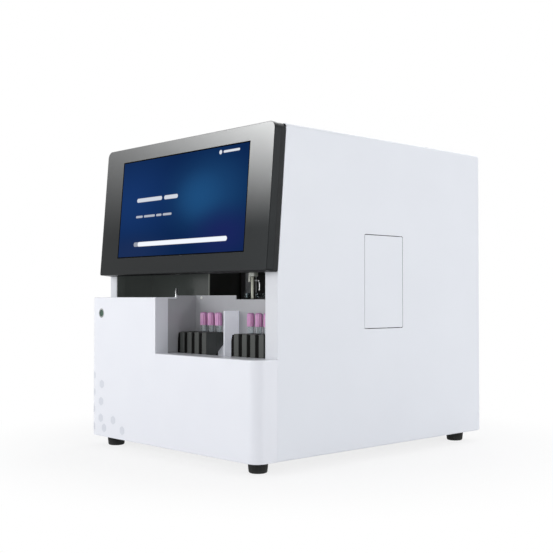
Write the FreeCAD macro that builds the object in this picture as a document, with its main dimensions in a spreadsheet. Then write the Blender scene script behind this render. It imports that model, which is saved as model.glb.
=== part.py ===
"""Bench-top chemiluminescence immunoassay analyzer, as a parametric assembly in millimetres.

The analyzer stands on its four feet at z = 0, faces -Y and is centred on the Z axis. A white sheet
housing carries a tilted touch display at the front. Below it, behind a stepped front cover, a sample
bay holds eight narrow racks in two groups of four. A three-axis gantry inside moves the pipetting
probe over the tubes, a wash well and the incubator rotor. A hatch on the right side opens to the
bottle bay.

Depths are written as distances behind the front cover's front face, and heights as distances above
the housing's underside. The functions deep() and high() turn them into Y and Z.
"""

import FreeCAD, Part
import math
import os

import Sketcher

SIZES = {
    # housing
    "body_wide": 590.0,  # width over the housing
    "body_deep": 734.0,  # from the front cover's face to the rear edge
    "body_high": 670.0,  # from the underside to the top
    "shell_wall": 1.5,  # steel sheet of the housing shell
    "shell_round": 8.0,  # outer radius of the top and rear edges
    "shell_base_round": 4.0,  # outer radius of the bottom edges
    "rear_rim": 22.0,  # width of the shell's rim round the rear panel
    "base_rim": 72.0,  # width of the shell's rim that the feet are fixed under
    "fit_gap": 0.3,  # gap between pieces that are screwed together
    # feet
    "foot_high": 24.0,
    "foot_top_radius": 21.0,
    "foot_base_radius": 18.5,
    "foot_edge_round": 4.0,
    "foot_inset": 45.0,  # foot's centre to the nearest faces
    "foot_recess_radius": 7.0,
    "foot_recess_deep": 9.0,
    # base tray
    "tray_wall": 2.0,
    "tray_high": 22.0,
    "tray_slot_long": 90.0,
    "tray_slot_wide": 6.0,
    "tray_slot_pitch": 22.0,
    "tray_slot_row_x": 90.0,  # centre of the two rows of slots, either side
    # front cover
    "cover_deep": 57.0,
    "cover_wall": 3.0,
    "cover_round": 24.0,  # radius of the upright front corners
    "cover_edge_round": 2.0,
    "cover_tall": 323.0,  # height of the left part
    "cover_low": 201.0,  # height of the right part
    "step_x": 34.0,  # the step, left of centre
    "step_return": 34.0,  # depth of the step's own side wall
    # inner frame behind the cover
    "frame_wall": 2.0,
    "post_right": 40.0,
    "post_left": 25.0,
    "post_return": 23.0,
    "post_round": 5.0,
    "frame_top_gap": 8.0,  # frame's upper edge below the housing's top
    "frame_window_top": 400.0,  # top of the bay opening, behind the display
    "cable_window_wide": 64.0,
    "cable_window_high": 40.0,
    "cable_window_z": 500.0,
    # power button
    "button_in": 48.0,  # from the left side
    "button_z": 286.0,
    "button_radius": 8.0,
    "button_long": 10.5,
    "button_sunk": 0.5,
    "button_travel": 2.0,
    "ring_wall": 2.4,
    "ring_collar": 2.4,
    # display
    "screen_tilt": 4.6,  # degrees that the display leans back
    "display_proud": 2.0,  # the display's top above the housing's
    "display_thick": 31.0,
    "display_low": 375.0,  # height of the display's lower front edge
    "display_split": 18.0,  # depth of the front bezel's part
    "display_wall": 3.0,
    "display_top_round": 15.0,
    "display_base_round": 4.0,
    "display_edge_round": 2.0,
    "window_side": 70.0,
    "window_low": 38.5,
    "window_top": 33.0,
    "glass_thick": 2.6,
    "lcd_margin": 7.0,
    "lcd_thick": 10.5,
    # sample bay
    "bay_floor_height": 180.0,
    "floor_thick": 3.5,
    "liner_wall": 2.0,
    "liner_rear_top": 327.0,  # left and rear walls
    "liner_low_top": 318.5,  # right of the drop in the rear wall
    "liner_drop_x": 106.0,
    "rack_front": 58.0,
    "rack_long": 50.3,
    "rack_wide": 15.0,
    "rack_high": 64.0,
    "rack_pitch": 25.5,
    "rack_count": 4.0,  # racks in a group
    "group_inset_left": 19.5,  # bay's left wall to the centre of the first rack
    "group_inset_right": 11.0,  # centre of the last rack to the right post
    "rack_chamfer": 27.2,
    "rack_back_high": 24.8,  # straight upright part of the rack's rear end
    "rack_edge_round": 1.5,
    "pocket_inset": 9.8,  # pocket's centre from the rack's rear end
    "pocket_radius": 6.8,
    "pocket_deep": 30.4,
    "label_long": 24.0,
    "label_high": 40.0,
    "label_sunk": 0.5,
    "fin_wide": 9.5,
    "fin_tip": 3.0,
    "fin_high": 62.0,
    "fin_taper": 14.0,
    "fin_inset": 2.0,
    "fin_long": 44.0,
    "floor_flange": 40.0,
    "stop_high": 38.5,
    "stop_gap": 0.5,
    "divider_wall": 2.0,
    "divider_front": 70.0,
    "divider_high": 110.5,
    # sample tubes
    "tube_radius": 6.4,
    "tube_wall": 1.0,
    "tube_long": 63.6,
    "cap_radius": 7.8,
    "cap_high": 28.0,
    "cap_skirt_gap": 0.3,
    "cap_top_wall": 9.0,
    "cap_plug_long": 9.0,
    "cap_edge_round": 1.2,
    # process deck
    "deck_top": 300.0,
    "deck_wall": 2.0,
    "deck_margin": 38.5,
    "deck_gap": 6.5,
    "deck_rear_gap": 44.0,
    "deck_leg_front": 130.0,
    "smoked_front": 175.0,
    "smoked_thick": 3.0,
    "smoked_wing_front": 72.0,
    "smoked_edge_x": 66.0,  # its right edge, left of centre
    "smoked_high": 170.0,
    # gantry
    "beam_gap": 16.5,  # behind the bottle bay
    "beam_deep": 40.0,
    "beam_drop": 160.0,  # underside of the beam below the housing's top
    "beam_high": 40.0,
    "upright_margin": 7.5,
    "upright_wide": 18.0,
    "rail_out": 8.0,
    "rail_high": 12.0,
    "pulley_radius": 8.0,
    "pulley_flange": 1.5,
    "belt_lift": 2.5,  # belt above the beam
    "belt_high": 6.0,
    "belt_thick": 1.2,
    "drive_in": 46.0,  # drive pulley from the beam's left end
    "motor_wide": 42.0,
    "motor_long": 38.0,
    "motor_round": 4.0,
    "small_motor_wide": 28.0,
    "small_motor_long": 30.0,
    "probe_x": 117.0,
    "probe_deep": 150.0,
    "carriage_wide": 38.0,
    "carriage_out": 13.0,
    "carriage_over": 35.0,
    "carriage_drop": 48.0,
    "carriage_gap": 0.4,
    "arm_drop": 38.0,
    "arm_high": 24.0,
    "arm_wide": 20.0,
    "arm_reach": 115.0,
    "column_front": 158.0,
    "column_deep": 18.0,
    "column_wide": 30.0,
    "column_drop": 34.0,
    "column_high": 174.0,
    "bracket_high": 12.0,
    "bracket_wide": 16.0,
    "sleeve_radius": 5.2,
    "sleeve_bore": 2.5,
    "sleeve_lift": 1.5,  # above the low part of the bay's rear wall
    "needle_radius": 1.0,
    "needle_in": 2.0,  # its tip inside the sleeve
    "head_lift": 90.0,
    "block_high": 30.0,
    "block_wide": 20.0,
    "block_deep": 14.0,
    # wash well
    "well_radius": 9.0,
    "well_bore": 6.0,
    "well_deep": 96.0,
    "well_lip": 13.0,
    "well_lip_high": 3.0,
    # incubator
    "rotor_x": 40.0,  # left of centre
    "rotor_deep": 400.0,
    "rotor_radius": 110.0,
    "rotor_thick": 12.0,
    "rotor_ring": 26.0,
    "rotor_hub": 20.0,
    "spoke_wide": 14.0,
    "cuvette_count": 36.0,
    "cuvette_wide": 6.0,
    "cuvette_long": 12.0,
    "cuvette_sunk": 3.5,
    "heater_thick": 10.0,
    "heater_margin": 10.0,
    "pin_radius": 5.0,
    "pin_gap": 0.05,
    "detector_wide": 46.0,
    "detector_deep": 60.0,
    "detector_high": 62.0,
    "snout_radius": 15.0,
    # bottle bay and hatch
    "hatch_front": 311.0,
    "hatch_long": 128.0,
    "hatch_low": 255.0,
    "hatch_high": 204.0,
    "hatch_side_gap": 1.0,
    "hatch_end_gap": 1.6,
    "hatch_round": 3.0,
    "hatch_return": 10.0,
    "hatch_wall": 1.5,
    "pivot_in": 3.2,  # hinge axis below the outer face
    "pivot_edge": 4.0,  # hinge axis from the door's rear edge
    "pivot_radius": 1.25,
    "pivot_reach": 5.0,  # pin's end beyond the door's flange
    "bottle_bay_deep": 115.2,
    "bottle_bay_margin": 8.0,
    "bottle_bay_end": 4.5,
    "bottle_bay_wall": 1.5,
    "bottle_wide": 62.0,
    "bottle_deep": 56.0,
    "bottle_high": 118.0,
    "bottle_round": 9.0,
    "bottle_pitch": 66.0,
    "bottle_inset": 48.0,
    "neck_radius": 12.0,
    "neck_high": 8.0,
    "lid_radius": 15.0,
    "lid_high": 18.0,
    # rear
    "rear_sunk": 8.0,
    "rear_wall": 1.5,
    "rear_rim_high": 3.0,
    "louvre_long": 110.0,
    "louvre_high": 4.0,
    "louvre_pitch": 11.0,
    "louvre_count": 9.0,
    "louvre_in": 165.0,
    "louvre_drop": 290.0,
    "fan_in": 165.0,
    "fan_drop": 110.0,
    "fan_size": 92.0,
    "fan_thick": 25.0,
    "fan_bore": 43.0,
    "fan_hub": 18.0,
    "fan_axle": 3.0,
    "blade_count": 7.0,
    "blade_tip_gap": 1.5,
    "blade_pitch": 38.0,  # degrees between blade and fan plane
    "blade_wide": 24.0,
    "blade_thick": 1.8,
    "grille_ring": 3.0,
    "grille_gap": 7.0,
    "inlet_in": 105.0,
    "inlet_z": 60.0,
    "inlet_wide": 30.0,
    "inlet_high": 24.0,
    "inlet_deep": 22.0,
    "inlet_wall": 2.5,
    "inlet_flange": 4.0,
    "inlet_pin_long": 11.0,
    "switch_in": 145.0,
    "switch_wide": 15.0,
    "switch_high": 21.0,
    "switch_deep": 14.0,
    "switch_out": 2.5,
    "switch_tilt": 8.0,
    "pivot_in_switch": 4.0,  # rocker's axis below the panel's face
    "rocker_pin_radius": 1.2,
    "rocker_pin_long": 1.0,
    "supply_wide": 90.0,
    "supply_high": 62.0,
    "supply_margin": 17.5,
    "supply_gap": 10.0,
    "supply_rear_gap": 49.0,
}


class Size:
    """A length that remembers how it was worked out from the sheet's cells."""

    def __init__(self, value, text):
        self.value = value
        self.text = text

    def __float__(self):
        return float(self.value)

    def __add__(self, other):
        return Size(self.value + float(other), f"({self.text} + {written(other)})")

    def __radd__(self, other):
        return Size(float(other) + self.value, f"({written(other)} + {self.text})")

    def __sub__(self, other):
        return Size(self.value - float(other), f"({self.text} - {written(other)})")

    def __rsub__(self, other):
        return Size(float(other) - self.value, f"({written(other)} - {self.text})")

    def __mul__(self, other):
        return Size(self.value * float(other), f"({self.text} * {written(other)})")

    def __rmul__(self, other):
        return Size(float(other) * self.value, f"({written(other)} * {self.text})")

    def __truediv__(self, other):
        return Size(self.value / float(other), f"({self.text} / {written(other)})")

    def __neg__(self):
        return Size(-self.value, f"(0 - {self.text})")


def written(size):
    """The text of a size for an expression."""
    return size.text if isinstance(size, Size) else f"({float(size)})"


def sine(angle):
    """Sine of an angle in degrees."""
    return Size(math.sin(math.radians(float(angle))), f"sin({angle.text} * 1 deg)")


def cosine(angle):
    """Cosine of an angle in degrees."""
    return Size(math.cos(math.radians(float(angle))), f"cos({angle.text} * 1 deg)")


class Names:
    """The sizes by name, such as s.body_wide."""


doc = FreeCAD.newDocument("analyzer")
sheet = doc.addObject("Spreadsheet::Sheet", "Sizes")
s = Names()
for row, (name, value) in enumerate(SIZES.items(), start=1):
    sheet.set(f"A{row}", name)
    sheet.set(f"B{row}", str(value))
    sheet.setAlias(f"B{row}", name)
    setattr(s, name, Size(value, f"Sizes.{name}"))
doc.recompute()

pieces = []


def finished(obj, label):
    """Gives a sub-part its label and puts it on the list of pieces."""
    obj.Label = label
    pieces.append(obj)
    return obj


def deep(distance):
    """Y of a point that lies this far behind the front face."""
    return distance - s.body_deep / 2


def high(height):
    """Z of a point that lies this far above the housing's underside."""
    return height + s.foot_high


def bind(obj, prop, size):
    """Ties a property to the sheet."""
    obj.setExpression(prop, written(size))


def place(obj, x, y, z):
    """Ties an object's place to the sheet."""
    bind(obj, "Placement.Base.x", x)
    bind(obj, "Placement.Base.y", y)
    bind(obj, "Placement.Base.z", z)


def block(name, xs, ys, zs):
    """A box between two corners."""
    obj = doc.addObject("Part::Box", name)
    bind(obj, "Length", xs[1] - xs[0])
    bind(obj, "Width", ys[1] - ys[0])
    bind(obj, "Height", zs[1] - zs[0])
    place(obj, xs[0], ys[0], zs[0])
    return obj


TURNS = {
    "x": FreeCAD.Rotation(FreeCAD.Vector(0, 1, 0), 90),
    "y": FreeCAD.Rotation(FreeCAD.Vector(1, 0, 0), -90),
    "z": FreeCAD.Rotation(),
}


def rod(name, centre, radius, length, axis="z"):
    """A cylinder that starts at centre and runs along an axis."""
    obj = doc.addObject("Part::Cylinder", name)
    obj.Placement = FreeCAD.Placement(FreeCAD.Vector(), TURNS[axis])
    bind(obj, "Radius", radius)
    bind(obj, "Height", length)
    place(obj, *centre)
    return obj


def ball(name, centre, radius):
    """A sphere."""
    obj = doc.addObject("Part::Sphere", name)
    bind(obj, "Radius", radius)
    place(obj, *centre)
    return obj


def joined(name, shapes):
    """Several solids as one."""
    obj = doc.addObject("Part::MultiFuse", name)
    obj.Shapes = shapes
    obj.Refine = True
    return obj


def without(name, base, tools):
    """A solid with others cut out of it."""
    tool = tools[0] if len(tools) == 1 else joined(name + "_tools", tools)
    obj = doc.addObject("Part::Cut", name)
    obj.Base = base
    obj.Tool = tool
    obj.Refine = True
    return obj


def runs_along(edge, axis):
    """Whether an edge is straight and lies along an axis."""
    if edge.Curve.TypeId != "Part::GeomLine":
        return False
    direction = edge.Curve.Direction
    return abs(abs(getattr(direction, axis)) - 1.0) < 1e-6


def rounded(name, base, radius, choose):
    """A solid with some of its edges rounded."""
    doc.recompute()
    obj = doc.addObject("Part::Fillet", name)
    obj.Base = base
    edges = base.Shape.Edges
    obj.Edges = [(n, float(radius), float(radius)) for n, edge in enumerate(edges, 1) if choose(edge)]
    return obj


def near(value, size):
    """Whether a coordinate is at a size."""
    return abs(value - float(size)) < 0.02


def body(name):
    """A new body."""
    return doc.addObject("PartDesign::Body", name)


PLANES = {"x": ("YZ_Plane", 1), "y": ("XZ_Plane", -1), "z": ("XY_Plane", 1)}


def sketch(owner, name, axis, loops, offset):
    """A fully constrained sketch of closed outlines, square to an axis."""
    role, sign = PLANES[axis]
    drawn = owner.newObject("Sketcher::SketchObject", name)
    plane = next(feature for feature in owner.Origin.OriginFeatures if feature.Role == role)
    drawn.AttachmentSupport = [(plane, "")]
    drawn.MapMode = "FlatFace"
    bind(drawn, "AttachmentOffset.Base.z", offset * sign)
    for loop in loops:
        if isinstance(loop, dict):
            circle(drawn, loop)
        else:
            polygon(drawn, loop)
    return drawn


def fix(drawn, kind, index, point, size):
    """A dimension from the sketch's origin, tied to the sheet."""
    number = drawn.addConstraint(Sketcher.Constraint(kind, -1, 1, index, point, float(size)))
    drawn.setExpression(f"Constraints[{number}]", written(size))


def polygon(drawn, points):
    """A closed outline of straight lines."""
    first = drawn.GeometryCount
    corners = [FreeCAD.Vector(float(u), float(v), 0) for u, v in points]
    count = len(points)
    for n in range(count):
        drawn.addGeometry(Part.LineSegment(corners[n], corners[(n + 1) % count]))
    for n in range(count):
        drawn.addConstraint(Sketcher.Constraint("Coincident", first + n, 2, first + (n + 1) % count, 1))
    for n, (u, v) in enumerate(points):
        fix(drawn, "DistanceX", first + n, 1, u)
        fix(drawn, "DistanceY", first + n, 1, v)


def circle(drawn, spec):
    """A round outline."""
    u, v = spec["centre"]
    radius = spec["radius"]
    index = drawn.GeometryCount
    centre = FreeCAD.Vector(float(u), float(v), 0)
    drawn.addGeometry(Part.Circle(centre, FreeCAD.Vector(0, 0, 1), float(radius)))
    fix(drawn, "DistanceX", index, 3, u)
    fix(drawn, "DistanceY", index, 3, v)
    number = drawn.addConstraint(Sketcher.Constraint("Radius", index, float(radius)))
    drawn.setExpression(f"Constraints[{number}]", written(radius))


def extrude(owner, name, kind, axis, loops, low, top):
    """A Pad or a Pocket between two planes square to an axis."""
    sign = PLANES[axis][1]
    rises = (kind == "Pad") == (sign > 0)
    drawn = sketch(owner, name + "_sketch", axis, loops, low if rises else top)
    feature = owner.newObject("PartDesign::" + kind, name)
    feature.Profile = drawn
    bind(feature, "Length", top - low)
    drawn.Visibility = False
    return feature


def turned(owner, name, points):
    """A solid of revolution about the vertical axis, from (radius, height) points."""
    drawn = sketch(owner, name + "_sketch", "y", [points], 0 * s.fit_gap)
    feature = owner.newObject("PartDesign::Revolution", name)
    feature.Profile = drawn
    feature.ReferenceAxis = (drawn, ["V_Axis"])
    feature.Angle = 360.0
    return feature


def eased(owner, name, radius, choose):
    """A body's last feature with some of its edges rounded."""
    doc.recompute()
    base = owner.Tip
    picked = [f"Edge{n}" for n, edge in enumerate(base.Shape.Edges, 1) if choose(edge)]
    feature = owner.newObject("PartDesign::Fillet", name)
    feature.Base = (base, picked)
    bind(feature, "Radius", radius)
    return feature


def rectangle(us, vs):
    """The corners of a rectangle."""
    return [(us[0], vs[0]), (us[1], vs[0]), (us[1], vs[1]), (us[0], vs[1])]


def both(half):
    """A span that is centred on zero."""
    return (-half, half)


def about(centre, wide):
    """A span of a given width about a centre."""
    return (centre - wide / 2, centre + wide / 2)


half_wide = s.body_wide / 2
inner_half = half_wide - s.shell_wall
front_plane = deep(s.cover_deep)
rear_plane = deep(s.body_deep)
display_front = s.cover_deep - s.display_thick * cosine(s.screen_tilt) - s.fit_gap
kink = s.display_low - s.display_thick * sine(s.screen_tilt)
lean = sine(s.screen_tilt) / cosine(s.screen_tilt)
tray_low = s.cover_wall
tray_floor = tray_low + s.tray_wall
bay_top = s.bay_floor_height + s.floor_thick
rack_back = s.rack_front + s.rack_long
rack_top = bay_top + s.rack_high
bay_left = -s.step_x
bay_right = half_wide - s.post_right
liner_back = rack_back + s.stop_gap + s.divider_wall + s.fit_gap
hatch_span = (s.hatch_front, s.hatch_front + s.hatch_long)
hatch_rise = (s.hatch_low, s.hatch_low + s.hatch_high)
button_x = half_wide - s.button_in
display_high = (s.body_high + s.display_proud - s.display_low) / cosine(s.screen_tilt)
window_half = half_wide - s.window_side
window_high = display_high - s.window_low - s.window_top
bottle_bay_left = inner_half - s.fit_gap - s.bottle_bay_deep
upright_x = inner_half - s.upright_margin - s.upright_wide
beam_front = hatch_span[1] + s.bottle_bay_margin + s.bottle_bay_wall + s.beam_gap
beam_low = s.body_high - s.beam_drop
inlet_x = half_wide - s.inlet_in
switch_x = half_wide - s.switch_in
fan_x = half_wide - s.fan_in
fan_z = s.body_high - s.fan_drop
louvre_x = half_wide - s.louvre_in
louvre_z = s.body_high - s.louvre_drop


def rounded_case(name, inset):
    """The housing's rounded block, smaller by an inset on all sides but the front."""
    outer = half_wide - inset
    raw = block(
        name + "_block",
        both(outer),
        (front_plane - inset, rear_plane - inset),
        (high(inset), high(s.body_high - inset)),
    )
    back = rear_plane - inset
    top = high(s.body_high - inset)
    base = high(inset)

    def upper(edge):
        spot = edge.CenterOfMass
        on_back = near(spot.y, back)
        return (
            (runs_along(edge, "y") and near(spot.z, top))
            or (runs_along(edge, "x") and near(spot.z, top) and on_back)
            or (runs_along(edge, "z") and on_back)
        )

    eased_top = rounded(name + "_top", raw, s.shell_round - inset, upper)
    front = float(front_plane) - float(inset)

    def lower(edge):
        box = edge.BoundBox
        flat = near(box.ZMax, base) and near(box.ZMin, base)
        return flat and not (near(box.YMax, front) and near(box.YMin, front))

    return rounded(name + "_base", eased_top, s.shell_base_round - inset, lower)


def front_line(name, spare):
    """A wedge that takes away what lies ahead of the display's back."""
    owner = body(name)
    top = s.body_high + spare
    points = [
        (front_plane - spare, high(kink)),
        (front_plane, high(kink)),
        (front_plane + (top - kink) * lean, high(top)),
        (front_plane - spare, high(top)),
    ]
    extrude(owner, name + "_pad", "Pad", "x", [points], -half_wide - spare, half_wide + spare)
    return owner


def make_shell():
    """The housing: sides, top, and rims at the rear and below, in one shell."""
    spare = 10 * s.shell_wall
    outer = rounded_case("shell_outer", 0 * s.shell_wall)
    inner = rounded_case("shell_inner", s.shell_wall)
    rear_window = block(
        "shell_rear_window",
        both(half_wide - s.rear_rim),
        (rear_plane - spare, rear_plane + spare),
        (high(s.rear_rim), high(s.body_high - s.rear_rim)),
    )
    base_window = block(
        "shell_base_window",
        both(half_wide - s.base_rim),
        (front_plane - spare, rear_plane - s.base_rim),
        (high(-spare), high(spare)),
    )
    hatch = block(
        "shell_hatch",
        (half_wide - spare, half_wide + spare),
        (deep(hatch_span[0]), deep(hatch_span[1])),
        (high(hatch_rise[0]), high(hatch_rise[1])),
    )
    hatch_rounded = rounded(
        "shell_hatch_round",
        hatch,
        s.hatch_round + s.hatch_side_gap,
        lambda edge: runs_along(edge, "x"),
    )
    wedge = front_line("shell_wedge", spare)
    tools = [inner, rear_window, base_window, hatch_rounded, wedge]
    finished(without("housing_shell", outer, tools), "housing_shell")


def frame_post(name, edge, side, low):
    """A post's rounded return: a bent strip along the side of the bay opening."""
    owner = body(name)
    wall = s.frame_wall
    far = s.post_round + 2 * wall
    top = front_plane + s.post_return
    outline = [
        (edge, front_plane),
        (edge + side * far, front_plane),
        (edge + side * far, front_plane + wall),
        (edge + side * wall, front_plane + wall),
        (edge + side * wall, top),
        (edge, top),
    ]
    extrude(owner, name + "_pad", "Pad", "z", [outline], low, high(kink))
    outer = lambda e: (
        runs_along(e, "z")
        and near(e.CenterOfMass.x, edge)
        and near(e.CenterOfMass.y, front_plane)
    )
    eased(owner, name + "_outer", s.post_round, outer)
    bend = lambda e: (
        runs_along(e, "z")
        and near(e.CenterOfMass.x, edge + side * wall)
        and near(e.CenterOfMass.y, front_plane + wall)
    )
    eased(owner, name + "_inner", s.post_round - wall, bend)
    return owner


def make_frame():
    """The inner front frame: bent sheet with the bay opening between two posts."""
    owner = body("frame_body")
    edge = inner_half - s.fit_gap
    top = s.body_high - s.frame_top_gap
    foot = tray_low + s.tray_high + s.fit_gap
    shift = (top - kink) * lean
    post_low = high(s.cover_tall - s.frame_wall)
    profile = [
        (front_plane, high(foot)),
        (front_plane + s.frame_wall, high(foot)),
        (front_plane + s.frame_wall, high(kink)),
        (front_plane + s.frame_wall + shift, high(top)),
        (front_plane + shift, high(top)),
        (front_plane, high(kink)),
    ]
    extrude(owner, "frame_sheet", "Pad", "x", [profile], -edge, edge)
    left_post = -(half_wide - s.post_left)
    slot_left = bay_left - s.liner_wall - s.fit_gap
    bend = s.post_round + s.frame_wall
    opening = [
        (left_post - bend, high(kink)),
        (left_post - bend, post_low),
        (slot_left, post_low),
        (slot_left, high(bay_top)),
        (bay_right + bend, high(bay_top)),
        (bay_right + bend, high(kink)),
        (bay_right, high(kink)),
        (bay_right, high(s.frame_window_top)),
        (left_post, high(s.frame_window_top)),
        (left_post, high(kink)),
    ]
    spare = s.frame_wall
    extrude(
        owner,
        "frame_opening",
        "Pocket",
        "y",
        [opening],
        front_plane - spare,
        front_plane + s.post_return,
    )
    cable = rectangle(
        both(s.cable_window_wide / 2),
        (high(s.cable_window_z), high(s.cable_window_z + s.cable_window_high)),
    )
    extrude(owner, "frame_cable", "Pocket", "y", [cable], front_plane, front_plane + s.post_return + shift)
    right = frame_post("post_right_body", bay_right, 1, high(bay_top))
    left = frame_post("post_left_body", left_post, -1, post_low)
    finished(joined("front_frame", [owner, right, left]), "front_frame")


def cover_outline(wall):
    """The cover's stepped outline, smaller by a wall on all sides."""
    return [
        (-half_wide + wall, high(wall)),
        (half_wide - wall, high(wall)),
        (half_wide - wall, high(s.cover_low - wall)),
        (bay_left - wall, high(s.cover_low - wall)),
        (bay_left - wall, high(s.cover_tall - wall)),
        (-half_wide + wall, high(s.cover_tall - wall)),
    ]


def cover_block(name, wall, back):
    """The cover's stepped block with its upright front corners rounded."""
    owner = body(name)
    front = deep(wall)
    extrude(owner, name + "_pad", "Pad", "y", [cover_outline(wall)], front, back)
    corner = lambda edge: (
        runs_along(edge, "z")
        and near(edge.CenterOfMass.y, front)
        and near(abs(edge.CenterOfMass.x), half_wide - wall)
    )
    eased(owner, name + "_corners", s.cover_round - wall, corner)
    return owner


def make_cover():
    """The stepped front cover, a moulded shell that is open at the back."""
    back = front_plane - s.fit_gap
    wall = s.cover_wall
    zero = 0 * wall
    front = deep(zero)
    outer = cover_block("cover_outer", zero, back)

    def front_edges(edge):
        box = edge.BoundBox
        in_front = box.YMax < float(front) + float(s.cover_round) + 0.01
        return in_front and near(box.YMin, front) and not runs_along(edge, "z")

    eased(outer, "cover_edges", s.cover_edge_round, front_edges)
    hollow = cover_block("cover_hollow", wall, back + wall)
    step = block(
        "cover_step_end",
        (bay_left - 2 * wall, bay_left + wall),
        (front + s.step_return, back + wall),
        (high(s.cover_low), high(s.cover_tall - wall)),
    )
    spot = (-button_x, front - wall, high(s.button_z))
    hole = rod("cover_button_hole", spot, ring_radius() + s.fit_gap, 3 * wall, "y")
    finished(without("front_cover", outer, [hollow, step, hole]), "front_cover")


def ring_radius():
    """Outer radius of the button's ring."""
    return s.button_radius + s.fit_gap + s.ring_wall


def make_button():
    """The power button and the ring that guides it."""
    front = deep(0 * s.cover_deep)
    x = -button_x
    z = high(s.button_z)
    bore_deep = s.button_sunk + s.button_long + s.button_travel + s.fit_gap
    sleeve = rod("ring_sleeve", (x, front, z), ring_radius(), bore_deep + s.ring_wall / 2, "y")
    collar_at = front + s.cover_wall + s.fit_gap
    collar = rod("ring_collar_rod", (x, collar_at, z), ring_radius() + s.ring_collar, s.ring_collar, "y")
    bore = rod("ring_bore", (x, front, z), s.button_radius + s.fit_gap, bore_deep, "y")
    finished(without("button_ring", joined("ring_solid", [sleeve, collar]), [bore]), "button_ring")
    stem = rod("button_rod", (x, front + s.button_sunk, z), s.button_radius, s.button_long, "y")
    face = lambda edge: near(edge.BoundBox.YMax, front + s.button_sunk)
    finished(rounded("power_button", stem, s.button_sunk, face), "power_button")


def make_feet():
    """Four turned rubber feet with a screw recess."""
    spots = {
        "foot_front_left": (-1, s.foot_inset),
        "foot_front_right": (1, s.foot_inset),
        "foot_rear_left": (-1, s.body_deep - s.foot_inset),
        "foot_rear_right": (1, s.body_deep - s.foot_inset),
    }
    for label, (side, distance) in spots.items():
        owner = body(label)
        profile = [
            (s.foot_recess_radius, 0 * s.foot_high),
            (s.foot_base_radius, 0 * s.foot_high),
            (s.foot_top_radius, s.foot_high),
            (0 * s.foot_high, s.foot_high),
            (0 * s.foot_high, s.foot_recess_deep),
            (s.foot_recess_radius, s.foot_recess_deep),
        ]
        turned(owner, label + "_turned", profile)
        rim = lambda e: near(e.BoundBox.ZMax, 0) and e.BoundBox.XMax > float(s.foot_recess_radius * 2)
        eased(owner, label + "_rim", s.foot_edge_round, rim)
        place(owner, side * (half_wide - s.foot_inset), deep(distance), 0 * s.foot_high)
        finished(owner, label)


def tray_block(name, inset, low):
    """The tray's block with rounded upright corners, smaller by an inset."""
    owner = body(name)
    edge = half_wide - s.cover_wall - 2 * s.fit_gap - inset
    front = deep(s.cover_wall + 2 * s.fit_gap + inset)
    back = rear_plane - s.rear_sunk - s.rear_wall - s.fit_gap - inset
    extrude(
        owner, name + "_pad", "Pad", "z", [rectangle(both(edge), (front, back))],
        low, high(tray_low + s.tray_high),
    )
    corner = lambda e: runs_along(e, "z") and near(e.CenterOfMass.y, front)
    eased(owner, name + "_front", s.cover_round - s.cover_wall - inset, corner)
    rear_corner = lambda e: runs_along(e, "z") and near(e.CenterOfMass.y, back)
    eased(owner, name + "_rear", s.shell_round - inset, rear_corner)
    return owner


def make_tray():
    """The base tray that carries everything inside."""
    outer = tray_block("tray_outer", 0 * s.tray_wall, high(tray_low))
    slots = []
    first = -2.5 * s.tray_slot_pitch
    for n in range(6):
        for side in (-1, 1):
            xs = about(side * s.tray_slot_row_x, s.tray_slot_long)
            slots.append(rectangle(xs, about(first + n * s.tray_slot_pitch, s.tray_slot_wide)))
    extrude(outer, "tray_slots", "Pocket", "z", slots, high(tray_low), high(tray_floor))
    hollow = tray_block("tray_hollow", s.tray_wall, high(tray_floor))
    finished(without("base_tray", outer, [hollow]), "base_tray")


def tilted(obj):
    """Puts a display piece, modelled upright, at its place and angle."""
    turn = FreeCAD.Rotation(FreeCAD.Vector(-1, 0, 0), 1)
    obj.Placement = FreeCAD.Placement(FreeCAD.Vector(), turn)
    bind(obj, "Placement.Rotation.Angle", s.screen_tilt)
    place(obj, 0 * s.body_wide, deep(display_front), high(s.display_low))
    return obj


def display_slab(name, inset, low, back):
    """A slab of the display with rounded corners, smaller by an inset."""
    owner = body(name)
    top = display_high - inset
    outline = rectangle(both(half_wide - inset), (0 * inset + inset, top))
    extrude(owner, name + "_pad", "Pad", "y", [outline], low, back)
    upper = lambda e: runs_along(e, "y") and near(e.CenterOfMass.z, top)
    eased(owner, name + "_upper", s.display_top_round - inset, upper)
    lower = lambda e: runs_along(e, "y") and near(e.CenterOfMass.z, inset)
    eased(owner, name + "_lower", s.display_base_round - inset, lower)
    return owner


def display_rim(owner, name, at):
    """Eases the outer edge of a display slab at one depth."""
    rim = lambda e: near(e.BoundBox.YMin, at) and near(e.BoundBox.YMax, at)
    eased(owner, name, s.display_edge_round, rim)


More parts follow.
